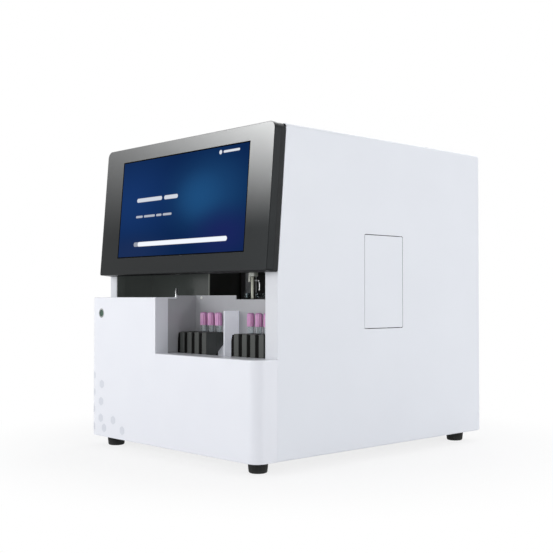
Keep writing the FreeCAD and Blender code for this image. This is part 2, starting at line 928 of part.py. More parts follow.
def make_display():
    """The display: bezel, glass, panel and back cover, stacked and tilted together."""
    zero = 0 * s.display_thick
    wall = s.display_wall
    split = s.display_split
    window = block(
        "bezel_window",
        both(window_half),
        (-wall, 2 * wall),
        (s.window_low, s.window_low + window_high),
    )
    bezel = display_slab("bezel_outer", zero, zero, split)
    display_rim(bezel, "bezel_rim", zero)
    bezel_hollow = display_slab("bezel_hollow", wall, wall, split + wall)
    finished(tilted(without("display_bezel", bezel, [bezel_hollow, window])), "display_bezel")

    glass = body("touch_glass")
    pane = rectangle(
        both(window_half - s.fit_gap),
        (s.window_low + s.fit_gap, s.window_low + window_high - s.fit_gap),
    )
    extrude(glass, "glass_pane", "Pad", "y", [pane], wall - s.glass_thick, wall)
    finished(tilted(glass), "touch_glass")

    panel = body("lcd_panel")
    frame = rectangle(
        both(window_half + s.lcd_margin),
        (s.window_low - s.lcd_margin, s.window_low + window_high + s.lcd_margin),
    )
    extrude(panel, "lcd_frame", "Pad", "y", [frame], wall, wall + s.lcd_thick)
    finished(tilted(panel), "lcd_panel")

    start = split + s.fit_gap
    back = display_slab("back_outer", zero, start, s.display_thick)
    display_rim(back, "back_rim", s.display_thick)
    back_hollow = display_slab("back_hollow", wall, start - wall, s.display_thick - wall)
    cable = block(
        "back_cable",
        both(s.cable_window_wide / 2),
        (s.display_thick - 2 * wall, s.display_thick + wall),
        about(display_high / 2, s.cable_window_high / 2),
    )
    finished(tilted(without("display_back", back, [back_hollow, cable])), "display_back")


def rack_places():
    """The centre of each rack, left to right."""
    count = int(float(s.rack_count))
    left = [bay_left + s.group_inset_left + n * s.rack_pitch for n in range(count)]
    right = [bay_right - s.group_inset_right - n * s.rack_pitch for n in reversed(range(count))]
    return left + right


def make_bay():
    """The sample bay: lined walls, the laned floor and the guide between the groups."""
    wall = s.liner_wall
    rear_top = high(s.liner_rear_top)
    back = (deep(liner_back), deep(liner_back + wall))
    left = body("liner_left")
    floor_gap = s.cover_low + s.fit_gap
    frame_back = s.cover_deep + s.frame_wall + s.fit_gap
    side = [
        (deep(s.step_return + s.fit_gap), high(floor_gap)),
        (deep(frame_back), high(floor_gap)),
        (deep(frame_back), high(bay_top)),
        (back[0], high(bay_top)),
        (back[0], rear_top),
        (deep(frame_back), rear_top),
        (deep(frame_back), high(s.cover_tall - s.cover_wall - s.fit_gap)),
        (deep(s.step_return + s.fit_gap), high(s.cover_tall - s.cover_wall - s.fit_gap)),
    ]
    extrude(left, "liner_left_wall", "Pad", "x", [side], bay_left - wall, bay_left)
    right_at = bay_right + s.frame_wall + s.fit_gap
    across = (bay_left - wall, right_at + wall)
    rear = body("liner_rear")
    low_top = high(s.liner_low_top)
    outline = [
        (across[0], high(bay_top)),
        (across[1], high(bay_top)),
        (across[1], low_top),
        (s.liner_drop_x, low_top),
        (s.liner_drop_x, rear_top),
        (across[0], rear_top),
    ]
    extrude(rear, "liner_rear_wall", "Pad", "y", [outline], *back)
    right_front = deep(s.cover_deep + s.post_round + s.fit_gap)
    right = block(
        "liner_right_wall",
        (right_at, right_at + wall),
        (right_front, back[0]),
        (high(bay_top), low_top),
    )
    finished(joined("bay_liner", [left, rear, right]), "bay_liner")

    floor_front = deep(s.cover_deep + s.frame_wall)
    floor_side = (bay_left, bay_right)
    plate = block("floor_plate", across, (floor_front, back[1]), (high(s.bay_floor_height), high(bay_top)))
    flange = block(
        "floor_flange_plate",
        floor_side,
        (floor_front, floor_front + s.frame_wall),
        (high(s.bay_floor_height - s.floor_flange), high(s.bay_floor_height)),
    )
    fins = []
    for n, x in enumerate(rack_places(), start=1):
        middle = x - s.rack_pitch / 2
        base = high(bay_top)
        tip = base + s.fin_high
        fin = body(f"fin_{n}")
        outline = [
            (middle - s.fin_wide / 2, base),
            (middle + s.fin_wide / 2, base),
            (middle + s.fin_wide / 2, tip - s.fin_taper),
            (middle + s.fin_tip / 2, tip),
            (middle - s.fin_tip / 2, tip),
            (middle - s.fin_wide / 2, tip - s.fin_taper),
        ]
        start = deep(s.rack_front + s.fin_inset)
        extrude(fin, f"fin_{n}_pad", "Pad", "y", [outline], start, start + s.fin_long)
        fins.append(fin)
    finished(joined("lane_floor", [plate, flange] + fins), "lane_floor")

    stop_front = deep(rack_back + s.stop_gap)
    places = rack_places()
    count = int(float(s.rack_count))
    rail = block(
        "guide_rail",
        (bay_left + s.stop_gap, bay_right - s.stop_gap),
        (stop_front, stop_front + s.divider_wall),
        (high(bay_top), high(bay_top + s.stop_high)),
    )
    middle = (places[count - 1] + places[count]) / 2
    fin_plate = block(
        "guide_plate",
        about(middle, s.divider_wall),
        (deep(s.divider_front), stop_front + s.divider_wall),
        (high(bay_top), high(bay_top + s.divider_high)),
    )
    finished(joined("rack_guide", [rail, fin_plate]), "rack_guide")


def make_racks():
    """Eight narrow racks. Each has a pocket for one tube at its rear end."""
    floor = high(bay_top)
    top = high(rack_top)
    front = deep(s.rack_front)
    back = deep(rack_back)
    pocket_y = back - s.pocket_inset
    ball_z = top - s.pocket_deep + s.pocket_radius
    for n, x in enumerate(rack_places(), start=1):
        owner = body(f"rack_{n}_body")
        outline = [
            (front, floor),
            (back - s.rack_chamfer, floor),
            (back - s.rack_chamfer, top - s.rack_back_high - s.rack_chamfer),
            (back, top - s.rack_back_high),
            (back, top),
            (front, top),
        ]
        xs = about(x, s.rack_wide)
        extrude(owner, f"rack_{n}_pad", "Pad", "x", [outline], *xs)
        nose = lambda e: runs_along(e, "z") and near(e.CenterOfMass.y, front)
        eased(owner, f"rack_{n}_nose", s.rack_edge_round, nose)
        label = rectangle(
            about(front + s.rack_long / 3, s.label_long),
            (top - s.rack_edge_round * 4 - s.label_high, top - s.rack_edge_round * 4),
        )
        extrude(owner, f"rack_{n}_label", "Pocket", "x", [label], xs[1] - s.label_sunk, xs[1])
        pocket = joined(
            f"rack_{n}_pocket",
            [
                rod(f"rack_{n}_bore", (x, pocket_y, ball_z), s.pocket_radius, s.pocket_deep),
                ball(f"rack_{n}_seat", (x, pocket_y, ball_z), s.pocket_radius),
            ],
        )
        finished(without(f"sample_rack_{n}", owner, [pocket]), f"sample_rack_{n}")


def make_tubes():
    """Blood tubes with plug caps, in the three racks on each side of the divider."""
    places = rack_places()
    filled = [n for n in range(len(places)) if 0 < n < len(places) - 1]
    y = deep(rack_back - s.pocket_inset)
    seat = high(rack_top - s.pocket_deep + s.fit_gap)
    radius = s.tube_radius
    inner = radius - s.tube_wall
    tube_top = seat + s.tube_long
    cap_top = tube_top + s.cap_top_wall
    for n, index in enumerate(filled, start=1):
        x = places[index]
        centre = (x, y, seat + radius)
        outer = joined(
            f"tube_{n}_outer",
            [
                rod(f"tube_{n}_wall", centre, radius, s.tube_long - radius),
                ball(f"tube_{n}_end", centre, radius),
            ],
        )
        hollow = joined(
            f"tube_{n}_hollow",
            [
                rod(f"tube_{n}_bore", centre, inner, s.tube_long - radius),
                ball(f"tube_{n}_inner_end", centre, inner),
            ],
        )
        finished(without(f"sample_tube_{n}", outer, [hollow]), f"sample_tube_{n}")
        owner = body(f"cap_{n}_body")
        zero = 0 * s.cap_high
        base = -s.cap_high + s.cap_top_wall
        skirt = radius + s.cap_skirt_gap
        plug = inner - s.cap_skirt_gap
        profile = [
            (zero, s.cap_top_wall),
            (s.cap_radius, s.cap_top_wall),
            (s.cap_radius, base),
            (skirt, base),
            (skirt, s.cap_skirt_gap),
            (plug, s.cap_skirt_gap),
            (plug, -s.cap_plug_long),
            (zero, -s.cap_plug_long),
        ]
        turned(owner, f"cap_{n}_turned", profile)
        rim = lambda e: near(e.BoundBox.ZMax, s.cap_top_wall) and near(e.BoundBox.ZMin, s.cap_top_wall)
        eased(owner, f"cap_{n}_rim", s.cap_edge_round, rim)
        place(owner, x, y, cap_top - s.cap_top_wall)
        finished(owner, f"tube_cap_{n}")


def make_deck():
    """The process deck, its wash well and the smoked cover that stands on it."""
    owner = body("process_deck")
    wall = s.deck_wall
    front = deep(liner_back + s.liner_wall)
    back = rear_plane - s.deck_rear_gap
    xs = (s.deck_margin - inner_half, bottle_bay_left - s.bottle_bay_wall - s.deck_gap)
    top = high(s.deck_top)
    extrude(owner, "deck_plate", "Pad", "z", [rectangle(xs, (front, back))], top - wall, top)
    legs = [
        rectangle((xs[0], xs[0] + wall), (deep(s.deck_leg_front), back)),
        rectangle((xs[1] - wall, xs[1]), (deep(s.deck_leg_front), back)),
    ]
    extrude(owner, "deck_legs", "Pad", "z", legs, high(tray_floor), top - wall)
    hole = {"centre": (s.probe_x, deep(s.probe_deep)), "radius": s.well_radius + s.fit_gap}
    extrude(owner, "deck_well_hole", "Pocket", "z", [hole], top - wall, top)
    finished(owner, "process_deck")

    spot = (s.probe_x, deep(s.probe_deep))
    low = top - s.well_deep
    tube = rod("well_tube", (*spot, low), s.well_radius, s.well_deep)
    lip = rod("well_lip_rod", (*spot, top), s.well_lip, s.well_lip_high)
    floor = low + s.well_radius - s.well_bore
    bore = rod("well_bore_rod", (*spot, floor), s.well_bore, s.well_deep + s.well_lip_high)
    finished(without("wash_well", joined("well_solid", [tube, lip]), [bore]), "wash_well")

    thick = s.smoked_thick
    xs = (-inner_half + s.fit_gap, -s.smoked_edge_x)
    ys = (deep(s.smoked_front), deep(s.smoked_front + thick))
    zs = (top, top + s.smoked_high)
    pane = block("smoked_pane", xs, ys, zs)
    wing = block("smoked_wing", (xs[0], xs[0] + thick), (deep(s.smoked_wing_front), ys[1]), zs)
    bent = joined("smoked_bent", [pane, wing])
    upper = lambda e: runs_along(e, "y") and near(e.CenterOfMass.z, zs[1]) and near(e.CenterOfMass.x, xs[1])
    finished(rounded("smoked_panel", bent, s.display_top_round, upper), "smoked_panel")


def make_gantry():
    """The three-axis gantry: portal, carriage, arm, column and probe."""
    low = high(beam_low)
    top = high(beam_low + s.beam_high)
    ys = (deep(beam_front), deep(beam_front + s.beam_deep))
    outer = upright_x + s.upright_wide
    beam = block("portal_beam", both(outer), ys, (low, top))
    uprights = [
        block("portal_left", (-outer, -upright_x), ys, (high(tray_floor), low)),
        block("portal_right", (upright_x, outer), ys, (high(tray_floor), low)),
    ]
    rail_low = low + (s.beam_high - s.rail_high) / 2
    rail = block(
        "portal_rail",
        both(upright_x),
        (ys[0] - s.rail_out, ys[0]),
        (rail_low, rail_low + s.rail_high),
    )
    middle = (ys[0] + ys[1]) / 2
    drive = s.drive_in - outer
    idler = outer - s.pulley_radius - s.pulley_flange
    motor = block(
        "portal_motor_block",
        about(drive, s.motor_wide),
        about(middle, s.motor_wide),
        (low - s.motor_long, low),
    )
    upright_edges = lambda e: runs_along(e, "z")
    parts = [beam, rail, rounded("portal_motor", motor, s.motor_round, upright_edges)]
    belt_low = top + s.belt_lift
    wrap = s.pulley_radius + s.belt_thick
    flange = wrap + s.pulley_flange - s.belt_thick
    for n, x in enumerate((drive, idler), start=1):
        lower = rod(f"pulley_{n}_lower", (x, middle, top), flange, s.belt_lift)
        hub = rod(f"pulley_{n}_belt", (x, middle, belt_low), wrap, s.belt_high)
        upper = rod(f"pulley_{n}_upper", (x, middle, belt_low + s.belt_high), flange, s.pulley_flange)
        parts += [lower, hub, upper]
    runs = ((middle - wrap, middle - s.pulley_radius), (middle + s.pulley_radius, middle + wrap))
    for n, run in enumerate(runs, start=1):
        parts.append(block(f"belt_run_{n}", (drive, idler), run, (belt_low, belt_low + s.belt_high)))
    finished(joined("gantry_portal", parts + uprights), "gantry_portal")

    gap = s.carriage_gap
    carriage = body("x_carriage")
    front = ys[0] - s.carriage_out
    back = ys[0] + s.carriage_over
    face = ys[0] - gap
    floor = low - s.carriage_drop
    profile = [
        (front, floor),
        (back, floor),
        (back, low - gap),
        (face, low - gap),
        (face, rail_low - gap),
        (face - s.rail_out, rail_low - gap),
        (face - s.rail_out, rail_low + s.rail_high + gap),
        (face, rail_low + s.rail_high + gap),
        (face, top),
        (front, top),
    ]
    xs = about(s.probe_x, s.carriage_wide)
    extrude(carriage, "carriage_block", "Pad", "x", [profile], *xs)
    arm_low = low - s.arm_drop
    arm_top = arm_low + s.arm_high
    tunnel = rectangle(about(s.probe_x, s.arm_wide + 2 * gap), (arm_low - gap, arm_top + gap))
    extrude(carriage, "carriage_tunnel", "Pocket", "y", [tunnel], front, back)
    motor = rectangle(about(s.probe_x, s.small_motor_wide), (low, low + s.small_motor_wide))
    extrude(carriage, "carriage_motor", "Pad", "y", [motor], front - s.small_motor_long, front)
    motor_middle = front - s.small_motor_long / 2
    motor_edges = lambda e: runs_along(e, "y") and near(e.CenterOfMass.y, motor_middle)
    eased(carriage, "carriage_motor_edges", s.motor_round, motor_edges)
    finished(carriage, "x_carriage")

    arm = body("y_arm")
    arm_front = deep(s.column_front + s.column_deep)
    arm_back = ys[0] + s.arm_reach
    section = rectangle(about(s.probe_x, s.arm_wide), (arm_low, arm_top))
    extrude(arm, "arm_bar", "Pad", "y", [section], arm_front, arm_back)
    groove = rectangle(about(s.probe_x, s.arm_wide / 2), (arm_top - s.arm_high / 4, arm_top))
    extrude(arm, "arm_groove", "Pocket", "y", [groove], arm_front + s.arm_high, arm_back - s.arm_high)
    finished(arm, "y_arm")

    column_low = low - s.column_drop
    column = block(
        "column_bar",
        about(s.probe_x, s.column_wide),
        (deep(s.column_front), arm_front),
        (column_low, column_low + s.column_high),
    )
    reach = s.probe_deep - s.bracket_wide / 2
    bracket = block(
        "column_bracket",
        about(s.probe_x, s.bracket_wide),
        (deep(reach), deep(s.column_front)),
        (column_low, column_low + s.bracket_high),
    )
    lift_motor = block(
        "column_motor_block",
        about(s.probe_x, s.small_motor_wide),
        (arm_front, arm_front + s.small_motor_long),
        (column_low + s.column_high - s.small_motor_wide, column_low + s.column_high),
    )
    lift_edges = lambda e: runs_along(e, "y")
    lift = rounded("column_motor", lift_motor, s.motor_round, lift_edges)
    spot = (s.probe_x, deep(s.probe_deep))
    sleeve_low = high(s.liner_low_top + s.sleeve_lift)
    sleeve_long = column_low + s.bracket_high - sleeve_low
    sleeve = rod("column_sleeve", (*spot, sleeve_low), s.sleeve_radius, sleeve_long)
    bore = rod("column_bore", (*spot, sleeve_low), s.sleeve_bore, sleeve_long)
    solid = joined("column_solid", [column, bracket, sleeve, lift])
    finished(without("z_column", solid, [bore]), "z_column")

    block_low = low + s.head_lift
    rear = deep(s.column_front) - gap
    head = block(
        "probe_head",
        about(s.probe_x, s.block_wide),
        (rear - s.block_deep, rear),
        (block_low, block_low + s.block_high),
    )
    tip = sleeve_low + s.needle_in
    needle = rod("probe_needle", (*spot, tip), s.needle_radius, block_low - tip)
    finished(joined("probe", [head, needle]), "probe")


def make_incubator():
    """The heated incubator with its cuvette rotor, and the light detector beside it."""
    centre = (-s.rotor_x, deep(s.rotor_deep))
    deck = high(s.deck_top)
    plate = rod("heater_plate", (*centre, deck), s.rotor_radius + s.heater_margin, s.heater_thick)
    axle_top = s.heater_thick + s.fit_gap + s.rotor_thick
    axle = rod("heater_axle", (*centre, deck), s.pin_radius, axle_top)
    finished(joined("incubator_base", [plate, axle]), "incubator_base")

    rotor = body("incubator_rotor")
    low = 0 * s.rotor_thick
    top = s.rotor_thick
    zero = (0 * s.rotor_x, 0 * s.rotor_x)
    rim_inner = s.rotor_radius - s.rotor_ring
    outer = {"centre": zero, "radius": s.rotor_radius}
    inner = {"centre": zero, "radius": rim_inner}
    hub = {"centre": zero, "radius": s.rotor_hub}
    bore = {"centre": zero, "radius": s.pin_radius + s.pin_gap}
    extrude(rotor, "rotor_rim", "Pad", "z", [outer, inner], low, top)
    long_way = both(rim_inner + s.spoke_wide / 2)
    short_way = both(s.spoke_wide / 2)
    extrude(rotor, "rotor_spoke_x", "Pad", "z", [rectangle(long_way, short_way)], low, top)
    extrude(rotor, "rotor_spoke_y", "Pad", "z", [rectangle(short_way, long_way)], low, top)
    extrude(rotor, "rotor_hub_disc", "Pad", "z", [hub], low, top)
    extrude(rotor, "rotor_bore", "Pocket", "z", [bore], low, top)
    reach = s.rotor_radius - s.rotor_ring / 2
    well = rectangle(about(reach, s.cuvette_long), both(s.cuvette_wide / 2))
    mouth = extrude(rotor, "rotor_cuvette", "Pocket", "z", [well], top - s.cuvette_sunk, top)
    ring = rotor.newObject("PartDesign::PolarPattern", "rotor_cuvettes")
    ring.Originals = [mouth]
    upright = next(f for f in rotor.Origin.OriginFeatures if f.Role == "Z_Axis")
    ring.Axis = (upright, [""])
    ring.Angle = 360.0
    bind(ring, "Occurrences", s.cuvette_count)
    rotor.Tip = ring
    place(rotor, *centre, deck + s.heater_thick + s.fit_gap)
    finished(rotor, "incubator_rotor")

    front = centre[1] + s.rotor_radius + s.heater_margin + s.snout_radius / 2
    case = block(
        "detector_case",
        about(centre[0], s.detector_wide),
        (front, front + s.detector_deep),
        (deck, deck + s.detector_high),
    )
    snout_z = deck + s.detector_high / 2
    snout_start = (centre[0], front - s.snout_radius / 2, snout_z)
    snout = rod("detector_snout", snout_start, s.snout_radius, s.snout_radius, "y")
    finished(joined("light_detector", [case, snout]), "light_detector")


def make_bottles():
    """The bottle bay behind the hatch, and the two reagent bottles that stand in it."""
    wall = s.bottle_bay_wall
    xs = (bottle_bay_left, inner_half - s.fit_gap)
    ys = (deep(hatch_span[0] - s.bottle_bay_margin), deep(hatch_span[1] + s.bottle_bay_margin))
    zs = (high(hatch_rise[0] - s.bottle_bay_end), high(hatch_rise[1] + s.bottle_bay_end))
    outer = block(
        "bottle_bay_block",
        (xs[0] - wall, xs[1]),
        (ys[0] - wall, ys[1] + wall),
        (zs[0] - wall, zs[1] + wall),
    )
    hollow = block("bottle_bay_hollow", (xs[0], xs[1] + wall), ys, zs)
    finished(without("bottle_bay", outer, [hollow]), "bottle_bay")
    middle = (ys[0] + ys[1]) / 2
    for n, side in enumerate((-1, 1), start=1):
        y = middle + side * s.bottle_pitch / 2
        x = xs[0] + s.bottle_inset
        flask = block(
            f"bottle_{n}_flask",
            about(x, s.bottle_wide),
            about(y, s.bottle_deep),
            (zs[0], zs[0] + s.bottle_high),
        )
        soft = rounded(f"bottle_{n}_soft", flask, s.bottle_round, lambda e: runs_along(e, "z"))
        shoulder = zs[0] + s.bottle_high
        neck = rod(f"bottle_{n}_neck", (x, y, shoulder), s.neck_radius, s.neck_high)
        lid = rod(f"bottle_{n}_lid", (x, y, shoulder + s.neck_high), s.lid_radius, s.lid_high)
        finished(joined(f"reagent_bottle_{n}", [soft, neck, lid]), f"reagent_bottle_{n}")


def make_hatch():
    """The side hatch: a folded door that turns on two upright pins."""
    door = body("hatch_door")
    ys = (deep(hatch_span[0] + s.hatch_side_gap), deep(hatch_span[1] - s.hatch_side_gap))
    zs = (high(hatch_rise[0] + s.hatch_end_gap), high(hatch_rise[1] - s.hatch_end_gap))
    wall = s.hatch_wall
    inner = half_wide - s.hatch_return - wall
    extrude(door, "door_block", "Pad", "x", [rectangle(ys, zs)], inner, half_wide)
    eased(door, "door_corners", s.hatch_round, lambda e: runs_along(e, "x"))
    hollow = rectangle((ys[0] + wall, ys[1] - wall), (zs[0] + wall, zs[1] - wall))
    pocket = sketch(door, "door_hollow_sketch", "x", [hollow], half_wide - wall)
    feature = door.newObject("PartDesign::Pocket", "door_hollow")
    feature.Profile = pocket
    bind(feature, "Length", s.hatch_return)
    inside = lambda e: (
        runs_along(e, "x")
        and not near(e.CenterOfMass.y, ys[0])
        and e.CenterOfMass.y > float(ys[0] + wall) - 0.02
        and e.CenterOfMass.y < float(ys[1] - wall) + 0.02
        and float(zs[0] + wall) - 0.02 < e.CenterOfMass.z < float(zs[1] - wall) + 0.02
    )
    eased(door, "door_inner_corners", s.hatch_round - wall, inside)
    pivot = (half_wide - s.pivot_in, ys[1] - s.pivot_edge)
    hole = {"centre": pivot, "radius": s.pivot_radius + s.pin_gap}
    extrude(door, "door_top_hole", "Pocket", "z", [hole], zs[1] - wall, zs[1])
    extrude(door, "door_base_hole", "Pocket", "z", [hole], zs[0], zs[0] + wall)
    finished(door, "hatch_door")

    bay_low = high(hatch_rise[0] - s.bottle_bay_end)
    bay_high = high(hatch_rise[1] + s.bottle_bay_end)
    reach = s.bottle_bay_end + s.hatch_end_gap + wall + s.pivot_reach
    lower = rod("pin_lower", (*pivot, bay_low), s.pivot_radius, reach)
    upper = rod("pin_upper", (*pivot, bay_high - reach), s.pivot_radius, reach)
    finished(joined("hatch_pins", [lower, upper]), "hatch_pins")


def make_rear():
    """The sunk rear panel with louvres, fan grille, mains inlet and switch."""
    panel = body("rear_panel")
    wall = s.rear_wall
    rim = s.rear_rim - s.rear_rim_high
    edge = half_wide - rim
    back = rear_plane - s.shell_wall - s.fit_gap
    front = rear_plane - s.rear_sunk - wall
    zs = (high(rim), high(s.body_high - rim))
    extrude(panel, "rear_block", "Pad", "y", [rectangle(both(edge), zs)], front, back)
    hollow = rectangle(both(edge - wall), (zs[0] + wall, zs[1] - wall))
    extrude(panel, "rear_hollow", "Pocket", "y", [hollow], front + wall, back)
    louvres = []
    for n in range(int(float(s.louvre_count))):
        z = high(louvre_z) - n * s.louvre_pitch
        for side in (-1, 1):
            louvres.append(rectangle(about(side * louvre_x, s.louvre_long), about(z, s.louvre_high)))
    extrude(panel, "rear_louvres", "Pocket", "y", louvres, front, front + wall)
    fan_spot = (fan_x, high(fan_z))
    ring = s.fan_bore
    while float(ring) > float(s.fan_hub) + float(s.grille_gap):
        inner = ring - s.grille_gap
        loops = [{"centre": fan_spot, "radius": ring}, {"centre": fan_spot, "radius": inner}]
        extrude(panel, f"rear_fan_ring_{len(panel.Group)}", "Pocket", "y", loops, front, front + wall)
        ring = inner - s.grille_ring
    bar = s.grille_ring / 2
    bars = [
        rectangle(about(fan_spot[0], 2 * s.fan_bore), about(fan_spot[1], 2 * bar)),
        rectangle(about(fan_spot[0], 2 * bar), about(fan_spot[1], 2 * s.fan_bore)),
    ]
    extrude(panel, "rear_fan_bar_x", "Pad", "y", [bars[0]], front, front + wall)
    extrude(panel, "rear_fan_bar_z", "Pad", "y", [bars[1]], front, front + wall)
    inlet_hole = rectangle(
        about(inlet_x, s.inlet_wide + 2 * s.fit_gap),
        about(high(s.inlet_z), s.inlet_high + 2 * s.fit_gap),
    )
    switch_hole = rectangle(
        about(switch_x, s.switch_wide + 2 * s.ring_wall + 2 * s.fit_gap),
        about(high(s.inlet_z), s.switch_high + 2 * s.ring_wall + 2 * s.fit_gap),
    )
    extrude(panel, "rear_power_holes", "Pocket", "y", [inlet_hole, switch_hole], front, front + wall)
    finished(panel, "rear_panel")
    panel_face = front + wall
    make_inlet(panel_face)
    make_switch(panel_face)
    make_fan(front)


def make_inlet(face):
    """The mains inlet: a flanged socket with three blades."""
    x = inlet_x
    z = high(s.inlet_z)
    wall = s.inlet_wall
    shell = block(
        "inlet_shell",
        about(x, s.inlet_wide),
        (face - s.inlet_deep, face),
        about(z, s.inlet_high),
    )
    flange = block(
        "inlet_flange_plate",
        about(x, s.inlet_wide + 2 * s.inlet_flange),
        (face, face + wall),
        about(z, s.inlet_high + 2 * s.inlet_flange),
    )
    hollow = block(
        "inlet_hollow",
        about(x, s.inlet_wide - 2 * wall),
        (face - s.inlet_deep + wall, face + wall),
        about(z, s.inlet_high - 2 * wall),
    )
    socket = without("inlet_socket", joined("inlet_solid", [shell, flange]), [hollow])
    floor = face - s.inlet_deep + wall
    blade = s.inlet_wall / 2
    step = s.inlet_wide / 4
    blades = []
    for n, (side, lift) in enumerate(((-1, 0), (1, 0), (0, 1)), start=1):
        centre_x = x + side * step
        centre_z = z + lift * s.inlet_high / 6
        blades.append(
            block(
                f"inlet_blade_{n}",
                about(centre_x, 2 * blade),
                (floor, floor + s.inlet_pin_long),
                about(centre_z, 2 * s.inlet_wall),
            )
        )
    finished(joined("power_inlet", [socket] + blades), "power_inlet")


def make_switch(face):
    """The mains switch: a snap-in frame and a rocker that tilts in it."""
    x = switch_x
    z = high(s.inlet_z)
    wall = s.ring_wall
    box = block(
        "switch_box",
        about(x, s.switch_wide + 2 * wall),
        (face - s.switch_deep, face),
        about(z, s.switch_high + 2 * wall),
    )
    lip = block(
        "switch_lip",
        about(x, s.switch_wide + 3 * wall),
        (face, face + wall / 2),
        about(z, s.switch_high + 3 * wall),
    )
    hollow = block(
        "switch_hollow",
        about(x, s.switch_wide + 2 * s.fit_gap),
        (face - s.switch_deep + wall, face + wall),
        about(z, s.switch_high + 2 * s.fit_gap),
    )
    pivot = face - s.pivot_in_switch
    pin_half = s.switch_wide / 2 + s.fit_gap + s.rocker_pin_long
    seat = rod("switch_seat", (x - pin_half, pivot, z), s.rocker_pin_radius + s.pin_gap, 2 * pin_half, "x")
    finished(without("switch_frame", joined("switch_solid", [box, lip]), [hollow, seat]), "switch_frame")

    rocker = body("rocker_body")
    half = s.switch_high / 2 - 3 * s.fit_gap
    out = s.pivot_in_switch + s.switch_out
    outline = [
        (-s.pivot_in_switch, -half / 2),
        (out, -half),
        (out - wall / 2, 0 * half),
        (out, half),
        (-s.pivot_in_switch, half / 2),
    ]
    cheek = s.switch_wide / 2 - s.fit_gap
    extrude(rocker, "rocker_pad", "Pad", "x", [outline], -cheek, cheek)
    reach = pin_half - s.fit_gap / 2
    zero = 0 * half
    pin = rod("rocker_pin", (-reach, zero, zero), s.rocker_pin_radius, 2 * reach, "x")
    tilting = joined("rocker_switch", [rocker, pin])
    tilting.Placement = FreeCAD.Placement(FreeCAD.Vector(), FreeCAD.Rotation(FreeCAD.Vector(1, 0, 0), 1))
    bind(tilting, "Placement.Rotation.Angle", s.switch_tilt)
    place(tilting, x, pivot, z)
    finished(tilting, "rocker_switch")


def make_fan(front):
    """The cooling fan: square frame with four struts, and the bladed rotor."""
    x = fan_x
    z = high(fan_z)
    ys = (front - s.fan_thick, front)
    frame = block("fan_block", about(x, s.fan_size), ys, about(z, s.fan_size))
    bore = rod("fan_bore_rod", (x, ys[0], z), s.fan_bore, s.fan_thick, "y")
    corners = lambda e: runs_along(e, "y")
    ring = without("fan_ring", rounded("fan_soft", frame, s.shell_base_round, corners), [bore])
    strut = s.grille_ring
    reach = 2 * s.fan_bore + strut
    bars = [
        block("fan_strut_x", about(x, reach), (ys[0], ys[0] + strut), about(z, strut)),
        block("fan_strut_z", about(x, strut), (ys[0], ys[0] + strut), about(z, reach)),
    ]
    mount = rod("fan_mount", (x, ys[0], z), s.fan_hub, strut, "y")
    axle = rod("fan_axle_rod", (x, ys[0], z), s.fan_axle, s.fan_thick - strut, "y")
    finished(joined("fan_frame", [ring, mount, axle] + bars), "fan_frame")

    hub_low = float(ys[0] + strut + s.fit_gap)
    hub_long = float(s.fan_thick - 2 * strut - s.fit_gap)
    axis = FreeCAD.Vector(0, 1, 0)
    centre = FreeCAD.Vector(0, hub_low, 0)
    tip = float(s.fan_bore - s.blade_tip_gap)
    root = float(s.fan_hub - s.blade_thick)
    sweep = Part.makeCylinder(tip, hub_long, centre, axis)
    hub = Part.makeCylinder(float(s.fan_hub), hub_long, centre, axis)
    wide = float(s.blade_wide)
    thick = float(s.blade_thick)
    blades = []
    count = int(float(s.blade_count))
    for n in range(count):
        blade = Part.makeBox(tip + thick - root, wide, thick, FreeCAD.Vector(root, -wide / 2, -thick / 2))
        blade.rotate(FreeCAD.Vector(), FreeCAD.Vector(1, 0, 0), float(s.blade_pitch))
        blade.translate(FreeCAD.Vector(0, hub_low + hub_long / 2, 0))
        blade.rotate(FreeCAD.Vector(), axis, 360.0 * n / count)
        blades.append(blade.common(sweep))
    rotor = hub.multiFuse(blades)
    hole = Part.makeCylinder(float(s.fan_axle + s.pin_gap), hub_long, centre, axis)
    rotor = rotor.cut(hole).removeSplitter()
    made = doc.addObject("Part::Feature", "fan_rotor")
    made.Shape = rotor
    bind(made, "Placement.Base.x", x)
    bind(made, "Placement.Base.z", z)
    finished(made, "fan_rotor")


def make_supply():
    """The power supply, a plain box on the base tray."""
    side = inner_half - s.supply_margin
    supply = block(
        "supply_block",
        (side - s.supply_wide, side),
        (deep(beam_front + s.beam_deep + s.supply_gap), rear_plane - s.supply_rear_gap),
        (high(tray_floor), high(tray_floor + s.supply_high)),
    )
    finished(rounded("power_supply", supply, s.tray_wall, lambda e: runs_along(e, "z")), "power_supply")


def check():
    """Stops if a feature failed or a sub-part isn't one valid solid or group of solids."""
    for obj in doc.Objects:
        if "Invalid" in obj.State or "Error" in obj.State:
            raise RuntimeError(f"{obj.Name} failed: {obj.State}")
    for obj in pieces:
        shape = obj.Shape
        if shape.isNull() or not shape.isValid() or not shape.Solids:
            raise RuntimeError(f"{obj.Label} has no valid solid")


make_shell()
make_frame()
make_cover()
make_button()
make_feet()
make_tray()
make_display()
make_bay()
make_racks()
make_tubes()
make_deck()
make_gantry()
make_incubator()
make_bottles()
make_hatch()
make_rear()
make_supply()
doc.recompute()
check()
os.makedirs("parts", exist_ok=True)
for piece in pieces:
    piece.Shape.exportStep(f"parts/{piece.Label}.step")
print(len(pieces), "sub-parts written")
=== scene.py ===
# %% [markdown]
# # A bench-top immunoassay analyzer
#
# The analyzer takes blood tubes in narrow racks, draws a little from each with a moving probe and
# mixes it with a reagent that glows. From outside it is a white sheet-metal housing with a tilted
# display, a moulded front cover that steps down at the sample bay, and a hatch on its right side.
#
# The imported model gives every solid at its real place, so this scene only dresses it: first the
# finishes, then the small pieces that the metal and plastic parts carry, then the room.

# %% Load the frame
import math

import bmesh
import bpy
from mathutils import Matrix, Vector


